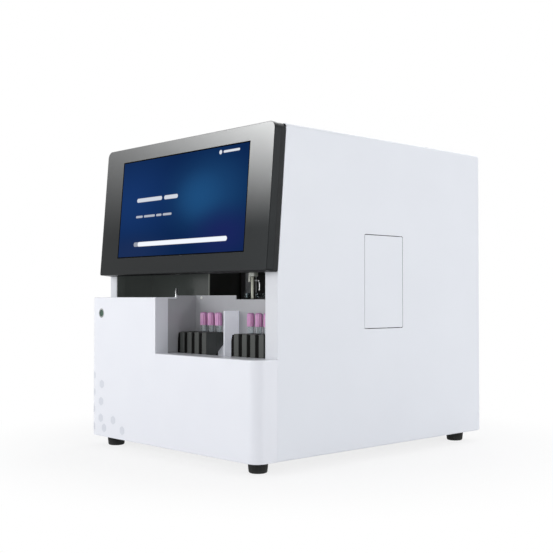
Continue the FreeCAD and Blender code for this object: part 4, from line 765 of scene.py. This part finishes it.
def ribbed(shape, centre, radius, low, straight, steps, dish):
    """A star-shaped disc raised straight, then by steps of (drawn in, raised), then dished."""
    star = {"segments": 2 * RIBS, "radius": radius, "cap_ends": True}
    made = bmesh.ops.create_circle(shape, **star)["verts"]
    for vertex in made[::2]:
        vertex.co *= 1 - RIB_DEEP
    bmesh.ops.translate(shape, verts=made, vec=(centre.x, centre.y, low))
    face = made[0].link_faces[0]
    space = Matrix.Translation((-centre.x, -centre.y, 0))
    for inwards, up in ((0, straight / MM), *steps):
        face = extruded(shape, face)
        bmesh.ops.translate(shape, verts=face.verts, vec=(0, 0, up * MM))
        shrink = 1 - inwards * MM / radius
        bmesh.ops.scale(shape, verts=face.verts, vec=(shrink, shrink, 1), space=space)
    bmesh.ops.inset_region(shape, faces=[face], thickness=DISH_RIM, depth=-dish * MM)


lilac = cap_plastic()
shoulder_high = sum(up for _, up in CAP_SHOULDER) * MM
for number in range(1, 7):
    low, high, centre = box(f"tube_cap_{number}")
    radius = (high.x - low.x) / 2
    straight = high.z - low.z - shoulder_high
    shape = bmesh.new()
    ribbed(shape, centre, radius, low.z, straight, CAP_SHOULDER, CAP_DISH)
    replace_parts(piece(f"ribbed_cap_{number}", shape, lilac), f"tube_cap_{number}")
print("ribs on each cap:", RIBS)

# %% [markdown]
# ## Blood in the tubes
#
# The tubes are part full, so a dark red column stands in each, just inside the clear wall. A
# profile of a few points is spun round the tube's axis: a quarter circle for the round bottom,
# the wall, and a surface that sags a little in the middle.

# %% Blood
TUBE_WALL = 1.2
FILL = 26
SAG = 0.8


def blood():
    """Venous blood, dark and glossy against the wall of a tube."""
    material, tree, shader = finish("blood_settled")
    feed(tree, shader, {"Base Color": drift(tree, 6, "#2c0a0c", "#3d0e11")})
    feed(tree, shader, {"Roughness": 0.2, "IOR": 1.35})
    return material


venous = blood()
for number in range(1, 7):
    low, high, centre = box(f"sample_tube_{number}")
    radius = (high.x - low.x) / 2 / MM - TUBE_WALL
    base = low.z / MM + TUBE_WALL
    arc = [math.radians(angle) for angle in (0, 25, 50, 70, 90)]
    path = [(radius * math.sin(a), base + radius * (1 - math.cos(a))) for a in arc]
    surface = [(radius, base + FILL), (0, base + FILL - SAG)]
    shape = bmesh.new()
    spun(shape, centre, path + surface, 24)
    piece(f"blood_{number}", shape, venous)
print("blood stands", FILL, "mm high")

# %% [markdown]
# ## Printed hexagons
#
# A loose drift of pale hexagons runs up the left of the lower cover. They are screen-printed and
# run round the cover's rounded corner. So a hexagon is cut from a fine grid by planes, and then
# every vertex is laid on the cover's front or on its corner arc. Real ink is some hundredths of a
# millimetre thick. This film is 0.12 mm, so that it stays clear of the cover under it.

# %% Lay a print on the cover
CORNER = 24 * MM
FILM = 0.12 * MM
AIR = 0.02 * MM
cover_low, cover_high, _ = box("front_cover")


def print_ink():
    """Pale grey screen-printed ink, flatter than the lacquer around it."""
    material, tree, shader = finish("ink_screen_printed")
    feed(tree, shader, {"Base Color": drift(tree, 5, "#d9dce3", "#d2d5dd"), "Roughness": 0.5})
    feed(tree, shader, {"Normal": grain(tree, 1.5, 0.02)})
    return material


def lay_on_cover(point, lift):
    """The point moved onto the cover's front, or onto the arc of its left corner."""
    over = cover_low.x + CORNER - point.x
    if over <= 0:
        return Vector((point.x, cover_low.y - lift, point.z))
    turn = over / CORNER
    reach = CORNER + lift
    centre = Vector((cover_low.x + CORNER, cover_low.y + CORNER, point.z))
    return centre + Vector((-math.sin(turn), -math.cos(turn), 0)) * reach


ink = print_ink()
print("the cover's corner radius is", CORNER / MM, "mm")

# %% [markdown]
# Twelve planes cut each hexagon: six for its sides, and six further out that clip its points, as
# the print has them slightly blunt.

# %% Hexagons
# centre from the middle of the cover and height above its lower edge, in millimetres
HEXAGONS = [
    (-279, 140), (-244, 121), (-280, 101), (-247, 81), (-281, 61.5),
    (-248, 42.5), (-197, 41.5), (-281, 20.5), (-234, 20.5), (-160, 21.5),
]
HEX_HALF = 9.0 * MM
POINT_REACH = 1.1  # as a share of half the width across the sides
GRID_REACH = 1.2


def hexagon(number, across, up):
    """A thin printed hexagon with clipped points."""
    shape = bmesh.new()
    size = HEX_HALF * GRID_REACH
    bmesh.ops.create_grid(shape, x_segments=12, y_segments=12, size=size)
    for side in range(12):
        turn = math.radians(30 * side)
        away = Vector((math.cos(turn), math.sin(turn), 0))
        reach = HEX_HALF * (1.0 if side % 2 == 0 else POINT_REACH)
        cut = {"plane_co": away * reach, "plane_no": away, "clear_outer": True}
        everything = shape.verts[:] + shape.edges[:] + shape.faces[:]
        bmesh.ops.bisect_plane(shape, geom=everything, **cut)
    bmesh.ops.solidify(shape, geom=shape.faces[:], thickness=FILM)
    middle = Vector((across * MM, 0, cover_low.z + up * MM))
    for vertex in shape.verts:
        flat = middle + Vector((vertex.co.x, 0, vertex.co.y))
        vertex.co = lay_on_cover(flat, AIR + abs(vertex.co.z))
    piece(f"hexagon_{number}", shape, ink)


for number, (across, up) in enumerate(HEXAGONS, start=1):
    hexagon(number, across, up)
print("hexagons:", len(HEXAGONS))

# %% [markdown]
# ## Screws
#
# Button-head screws hold the rear panel, the fan, the bay's liner and the feet. A low cone with
# its top edge bevelled makes the head. Its top is inset and pushed down to make the socket.

# %% One screw
HEAD_TOP = 0.75  # all as shares of the head's radius
HEAD_HIGH = 0.6
HEAD_ROUND = 0.16
SOCKET_RIM = 0.18
SOCKET_TAPER = 0.03
SOCKET_DEEP = 0.35
HEAD_OUT = 0.29


def screw(name, centre, direction, radius_mm, material=steel):
    """A button-head screw on a face that looks along the direction."""
    radius = radius_mm * MM
    shape = bmesh.new()
    cone = {"radius1": radius, "radius2": radius * HEAD_TOP, "depth": radius * HEAD_HIGH}
    bmesh.ops.create_cone(shape, cap_ends=True, segments=24, **cone)
    rim = [edge for edge in shape.edges if all(v.co.z > 0 for v in edge.verts)]
    bmesh.ops.bevel(shape, geom=rim, offset=radius * HEAD_ROUND, **SOFT_EDGE)
    top = top_face(shape)
    bmesh.ops.inset_region(shape, faces=[top], thickness=radius * SOCKET_RIM)
    socket = {"thickness": radius * SOCKET_TAPER, "depth": -radius * SOCKET_DEEP}
    bmesh.ops.inset_region(shape, faces=[top], **socket)
    turn = Vector((0, 0, 1)).rotation_difference(Vector(direction)).to_matrix()
    bmesh.ops.rotate(shape, verts=shape.verts, matrix=turn)
    place = Vector(centre) + Vector(direction) * radius * HEAD_OUT
    bmesh.ops.translate(shape, verts=shape.verts, vec=place)
    piece(name, shape, material)


# %% [markdown]
# The screws at the back and under the feet are steel. Those in the bay are pale and slightly
# glossy, like undyed nylon. Each row of places is worked out from the piece that the screws hold.

# %% Screws in their places
SHEET = 1.5 * MM
EDGE = 14 * MM
FAN_HOLE = 41.3 * MM
FOOT_SCREW_UP = 9 * MM
LINER_RIM = 2 * MM
LINER_SCREWS = ((-12, 345.5), (240, 335.5))
PANEL_HEAD, FAN_HEAD, FOOT_HEAD, LINER_HEAD = 3.8, 3.2, 4.5, 3.4
nylon = satin("nylon_moulded_natural", "#f0f0ec", "#e6e6e2", 0.3)

panel_low, panel_high, panel = box("rear_panel")
panel_face = panel_low.y + SHEET
columns = (panel_low.x + EDGE, panel_high.x - EDGE)
rows = (panel_low.z + EDGE, panel.z, panel_high.z - EDGE)
spots = [(x, z) for x in columns for z in rows]
spots += [(0, panel_low.z + EDGE), (0, panel_high.z - EDGE)]
for number, (x, z) in enumerate(spots, start=1):
    screw(f"panel_screw_{number}", (x, panel_face, z), (0, 1, 0), PANEL_HEAD)

_, _, fan = box("fan_frame")
fan_spots = [(fan.x + x * FAN_HOLE, fan.z + z * FAN_HOLE) for x in (-1, 1) for z in (-1, 1)]
for number, (x, z) in enumerate(fan_spots, start=1):
    screw(f"fan_screw_{number}", (x, panel_face, z), (0, 1, 0), FAN_HEAD)

for number, name in enumerate(feet, start=1):
    _, _, foot = box(name)
    screw(f"foot_screw_{number}", (foot.x, foot.y, FOOT_SCREW_UP), (0, 0, -1), FOOT_HEAD)

_, liner_high, _ = box("bay_liner")
liner_face = liner_high.y - LINER_RIM
for number, (x, z) in enumerate(LINER_SCREWS, start=1):
    place = (x * MM, liner_face, z * MM)
    screw(f"liner_screw_{number}", place, (0, -1, 0), LINER_HEAD, nylon)
print("screws:", len(spots) + len(fan_spots) + len(feet) + len(LINER_SCREWS))

# %% [markdown]
# ## Spigot
#
# A short steel spigot stands on the deck in front of the smoked panel. Such a fitting is turned on
# a lathe, so its outline is spun, from the flange over the stem to the open bore.

# %% Spigot
SPIGOT_AT = Vector((-156, -217, 0)) * MM
SPIGOT_OUTLINE = [
    # radius, height
    (0, 324.2), (8, 324.2), (8, 327), (5.5, 328), (4.6, 331),
    (4.6, 366), (3.6, 368), (2.6, 368), (2.6, 350), (0, 350),
]
shape = bmesh.new()
spun(shape, SPIGOT_AT, SPIGOT_OUTLINE)
piece("deck_spigot", shape, steel)
print("spigot top at", max(up for _, up in SPIGOT_OUTLINE), "mm")

# %% [markdown]
# ## Shade strip
#
# The left post of the bay opening turns back into the machine, and a strip of the smoked acrylic
# lines that return just above the cover as painted shade. It is a flat block with soft edges.

# %% Shade strip
STRIP_FROM = Vector((23.4, 1, -0.4))
STRIP_SIZE = Vector((1.4, 23, 53))
post_low, _, _ = box("front_frame")
strip_low = Vector((post_low.x, post_low.y, cover_high.z)) / MM + STRIP_FROM
shape = bmesh.new()
machined_block(shape, strip_low, strip_low + STRIP_SIZE, 0.3)
piece("shade_strip", shape, smoked)
print("strip", [round(side) for side in STRIP_SIZE], "mm")

# %% [markdown]
# ## Clamp on the sleeve
#
# The probe's sleeve wears a milled acetal clamp with a small ear, off-white and waxy. Two blocks
# with soft edges make it, as a mill would leave them.

# %% Clamp on the sleeve
_, _, probe = box("probe")
SLEEVE = Vector((probe.x / MM, -217, 0))
CLAMP = (Vector((-8.5, -6.2, 392)), Vector((9.5, 6.2, 405)))
EAR = (Vector((-12, -4, 380)), Vector((-6, 4, 394)))
acetal = satin("acetal_milled_natural", "#e2e4da", "#d8dad0", 0.4)
shape = bmesh.new()
for (low, high), soft in ((CLAMP, 1.2), (EAR, 1.0)):
    machined_block(shape, SLEEVE + low, SLEEVE + high, soft)
piece("probe_clamp", shape, acetal, "arm")
print("the sleeve's axis is at", [round(value) for value in SLEEVE.xy], "mm")

# %% [markdown]
# ## Wash tube
#
# Beside the clamp a bent steel tube brings wash water. It is a ring that is extruded level, turned
# in steps round the bend, and extruded down, much as a tube goes through a bender.

# %% Wash tube
TUBE_FROM = SLEEVE + Vector((5, 0, 383))
TUBE_RADIUS = 1.5 * MM
LEVEL = 8.0
BEND = 8.0
BEND_STEPS = 8
DROP = 13
shape = bmesh.new()
ring = bmesh.ops.create_circle(shape, segments=16, radius=TUBE_RADIUS, cap_ends=True)["verts"]
bmesh.ops.rotate(shape, verts=ring, matrix=Matrix.Rotation(math.pi / 2, 3, "Y"))
bmesh.ops.translate(shape, verts=ring, vec=TUBE_FROM * MM)
end = extruded(shape, shape.faces[:][0])
bmesh.ops.translate(shape, verts=end.verts, vec=(LEVEL * MM, 0, 0))
centre = (TUBE_FROM + Vector((LEVEL, 0, -BEND))) * MM
turn = Matrix.Rotation(math.radians(90 / BEND_STEPS), 3, "Y")
for _ in range(BEND_STEPS):
    end = extruded(shape, end)
    bmesh.ops.rotate(shape, verts=end.verts, matrix=turn, cent=centre)
end = extruded(shape, end)
bmesh.ops.translate(shape, verts=end.verts, vec=(0, 0, -DROP * MM))
piece("wash_tube", shape, steel, "arm")
print("wash tube bends in", BEND_STEPS, "steps")

# %% [markdown]
# ## Belt clamp
#
# A steel clamp ties the carriage to the belt. It stands in front of the belt's near run and rides
# on the carriage, so it follows every move. A flat foot and an upright jaw are two soft blocks.

# %% Belt clamp
CLAMP_FROM = Vector((8, 31, 0.5))
FOOT = (Vector((0, 0, 0)), Vector((22, 22, 3)))
JAW = (Vector((0, 18, 2)), Vector((22, 22.4, 11)))
clamp_low = Vector((carriage_low.x, carriage_low.y, beam_top)) / MM + CLAMP_FROM
shape = bmesh.new()
for low, high in (FOOT, JAW):
    machined_block(shape, clamp_low + low, clamp_low + high, 0.8)
piece("belt_clamp", shape, steel, "carriage")
print("belt clamp at", [round(value) for value in clamp_low], "mm")

# %% [markdown]
# ## Reaction cups
#
# The incubator's rotor carries a ring of clear polystyrene cups, in which the reaction runs. One
# cup is a tapered block, hollowed by an inset, and it is copied round the axis. All of them make
# one piece, because the rotor carries them as one.

# %% Reaction cups
CUPS = 36
CUP_RING = 97 * MM
CUP_SIZE = Vector((11.2, 5.4, 14))
CUP_LIFT = 4 * MM
CUP_WALL = 0.8 * MM
CUP_DEEP = 12 * MM
FLOOR_INSET = 0.05 * MM
CUP_TAPER = (1.06, 1.1, 1)
_, rotor_high, rotor = box("incubator_rotor")
shape = bmesh.new()
space = Matrix.Translation((rotor.x + CUP_RING, rotor.y, rotor_high.z + CUP_LIFT))
block = space @ Matrix.Diagonal((*CUP_SIZE * MM, 1))
bmesh.ops.create_cube(shape, size=1.0, matrix=block)
top = top_face(shape)
middle = Matrix.Translation(-space.translation)
bmesh.ops.scale(shape, verts=top.verts, vec=CUP_TAPER, space=middle)
bmesh.ops.inset_region(shape, faces=[top], thickness=CUP_WALL)
bmesh.ops.inset_region(shape, faces=[top], thickness=FLOOR_INSET, depth=-CUP_DEEP)
first = shape.verts[:] + shape.edges[:] + shape.faces[:]
for number in range(1, CUPS):
    copy = bmesh.ops.duplicate(shape, geom=first)["geom"]
    verts = [item for item in copy if isinstance(item, bmesh.types.BMVert)]
    turn = Matrix.Rotation(2 * math.pi * number / CUPS, 3, "Z")
    bmesh.ops.rotate(shape, verts=verts, matrix=turn, cent=rotor)
cup_clear = clear_plastic("polystyrene_moulded_clear")
piece("reaction_cups", shape, cup_clear, "rotor")
print("reaction cups:", CUPS)

# %% [markdown]
# ## Bottle lids
#
# The lids of the reagent bottles have ribs as well, so the caps' recipe makes a sleeve that sits
# just outside each lid.

# %% Bottle lids
LID_RADIUS = 16.2 * MM
LID_FROM_TOP = 17.5 * MM
LID_STRAIGHT = 16.2 * MM
LID_SHOULDER = ((0.7, 1.2), (1.2, 0.6))
LID_DISH = 0.4


def lid_plastic():
    """Blue moulded polypropylene, satin and evenly coloured."""
    material, tree, shader = finish("polypropylene_moulded_blue")
    feed(tree, shader, {"Base Color": drift(tree, 10, "#2f62a0", "#2a5890"), "Roughness": 0.35})
    feed(tree, shader, {"Normal": grain(tree, 1.5, 0.02)})
    return material


lid_blue = lid_plastic()
for number in (1, 2):
    _, high, centre = box(f"reagent_bottle_{number}")
    low_edge = high.z - LID_FROM_TOP
    shape = bmesh.new()
    ribbed(shape, centre, LID_RADIUS, low_edge, LID_STRAIGHT, LID_SHOULDER, LID_DISH)
    piece(f"bottle_lid_{number}", shape, lid_blue)
print("lid radius", LID_RADIUS / MM, "mm")

# %% [markdown]
# ## The floor
#
# The photograph has an even white ground. The floor is diffuse and takes a faint shadow near the
# machine. Further out it fades into pure white for the camera, for reflections and for what is
# seen through clear plastic, so no horizon shows. All other light meets it as plain paint.

# %% Floor
FLOOR_HALF = 12.0
SHADOW_TO, WHITE_FROM = 0.42, 0.85
WHITE_NEAR = 0.78


def seen_directly(tree):
    """1 for light that goes to the camera, to a mirror or through clear plastic."""
    rays = add(tree, "LightPath")
    either = {0: rays["Is Camera Ray"], 1: rays["Is Glossy Ray"]}
    seen = add(tree, "Math", either, operation="MAXIMUM")[0]
    either = {0: seen, 1: rays["Is Transmission Ray"]}
    return add(tree, "Math", either, operation="MAXIMUM")[0]


def floor_white():
    """A pale floor with a soft shadow near the machine, pure white further out."""
    material, tree, shader = finish("floor_white")
    here = add(tree, "TexCoord")["Object"]
    away = add(tree, "VectorMath", {0: here}, operation="LENGTH")["Value"]
    fade = {0: away, 1: SHADOW_TO, 2: WHITE_FROM, 3: WHITE_NEAR, 4: 1.0}
    far = add(tree, "MapRange", fade, interpolation_type="SMOOTHSTEP")[0]
    share = add(tree, "Math", {0: seen_directly(tree), 1: far}, operation="MULTIPLY")[0]
    white = add(tree, "Emission", {"Color": (1, 1, 1, 1), "Strength": 1.0})[0]
    feed(tree, shader, {"Base Color": shade("#f4f4f5"), "Roughness": 0.9})
    both = add(tree, "MixShader", {0: share, 1: shader.outputs[0], 2: white})[0]
    feed(tree, tree.nodes["Material Output"], {"Surface": both})
    return material


ground = bmesh.new()
bmesh.ops.create_grid(ground, x_segments=1, y_segments=1, size=FLOOR_HALF)
floor_mesh = bpy.data.meshes.new("floor")
ground.to_mesh(floor_mesh)
ground.free()
floor_mesh.materials.append(floor_white())
floor = put("floor", floor_mesh)
print("floor", 2 * FLOOR_HALF, "m wide")

# %% [markdown]
# ## The lamps
#
# Large soft lamps leave no hard edge in the lacquer. One at the front left lights the cover, and
# one at the back right lights the hatch side. The corner between them stays a little darker,
# which shows how round it is. A weak lamp at the camera's side fills it, one above the back
# lights the top, and a small work lamp inside shows the gantry.

# %% Lamps
MACHINE_MIDDLE = (0, 0, 0.36)
BAY_MIDDLE = (0.0, -0.12, 0.30)
SOFTBOXES = [
    # name, place, width and height, power in watts, what it points at
    ("front_key", (-1.15, -2.9, 1.05), (1.8, 1.4), 37, MACHINE_MIDDLE),
    ("right_key", (2.9, 1.15, 1.05), (1.8, 1.4), 28, MACHINE_MIDDLE),
    ("back_top", (-0.3, 1.7, 2.2), (2.0, 1.6), 22, MACHINE_MIDDLE),
    ("work_lamp", (0.05, -0.02, 0.60), (0.2, 0.1), 0.5, BAY_MIDDLE),
    ("camera_fill", (1.9, -2.5, 0.75), (1.2, 1.0), 9, MACHINE_MIDDLE),
]


def softbox(name, where, size, power, aim):
    """A rectangular lamp that looks at a point."""
    lamp = bpy.data.lights.new(name, "AREA")
    lamp.shape = "RECTANGLE"
    lamp.size, lamp.size_y = size
    lamp.energy = power
    obj = put(name, lamp)
    obj.location = where
    obj.rotation_euler = (Vector(aim) - Vector(where)).to_track_quat("-Z", "Y").to_euler()


for settings in SOFTBOXES:
    softbox(*settings)
print("lamps:", len(SOFTBOXES))

# %% [markdown]
# The world lights the scene evenly. What the camera, a mirror or a clear plastic sees of it is
# plain white, which is kept apart from the strength of its light.

# %% World
WORLD_STRENGTH = 0.44


def studio():
    """An even soft light, white to look at."""
    world = bpy.data.worlds.new("studio")
    bpy.context.scene.world = world
    world.use_nodes = True
    tree = world.node_tree
    tree.nodes.clear()
    soft = {"Color": shade("#fbfcfe"), "Strength": WORLD_STRENGTH}
    light = add(tree, "Background", soft)[0]
    white = add(tree, "Background", {"Color": (1, 1, 1, 1), "Strength": 1.0})[0]
    both = add(tree, "MixShader", {0: seen_directly(tree), 1: light, 2: white})[0]
    add(tree, "OutputWorld", {"Surface": both})


studio()
print("world strength", WORLD_STRENGTH)

# %% [markdown]
# ## The camera
#
# The camera stands in front of the right corner, a little above the middle of the machine and
# almost level. Its place was solved from the housing's edges in the photograph: the focal length
# is 955.5 pixels for a picture 553 pixels wide. The Standard view transform keeps a matched
# colour as it is, where others would bend it.

# %% Camera
FOCAL_PX = 955.5
PICTURE_PX = 553
SENSOR = 36.0
CAMERA_AT = (1.6630, -1.5910, 0.3464)
CAMERA_UP = 1.261  # degrees above the level
CAMERA_TURN = 46.970  # degrees from straight front
lens = bpy.data.cameras.new("camera")
lens.sensor_width = SENSOR
lens.lens = FOCAL_PX / PICTURE_PX * SENSOR
camera = put("camera", lens)
camera.location = CAMERA_AT
camera.rotation_euler = (math.radians(90 + CAMERA_UP), 0, math.radians(CAMERA_TURN))
bpy.context.scene.camera = camera
bpy.context.scene.view_settings.view_transform = "Standard"
print(f"lens {lens.lens:.1f} mm")
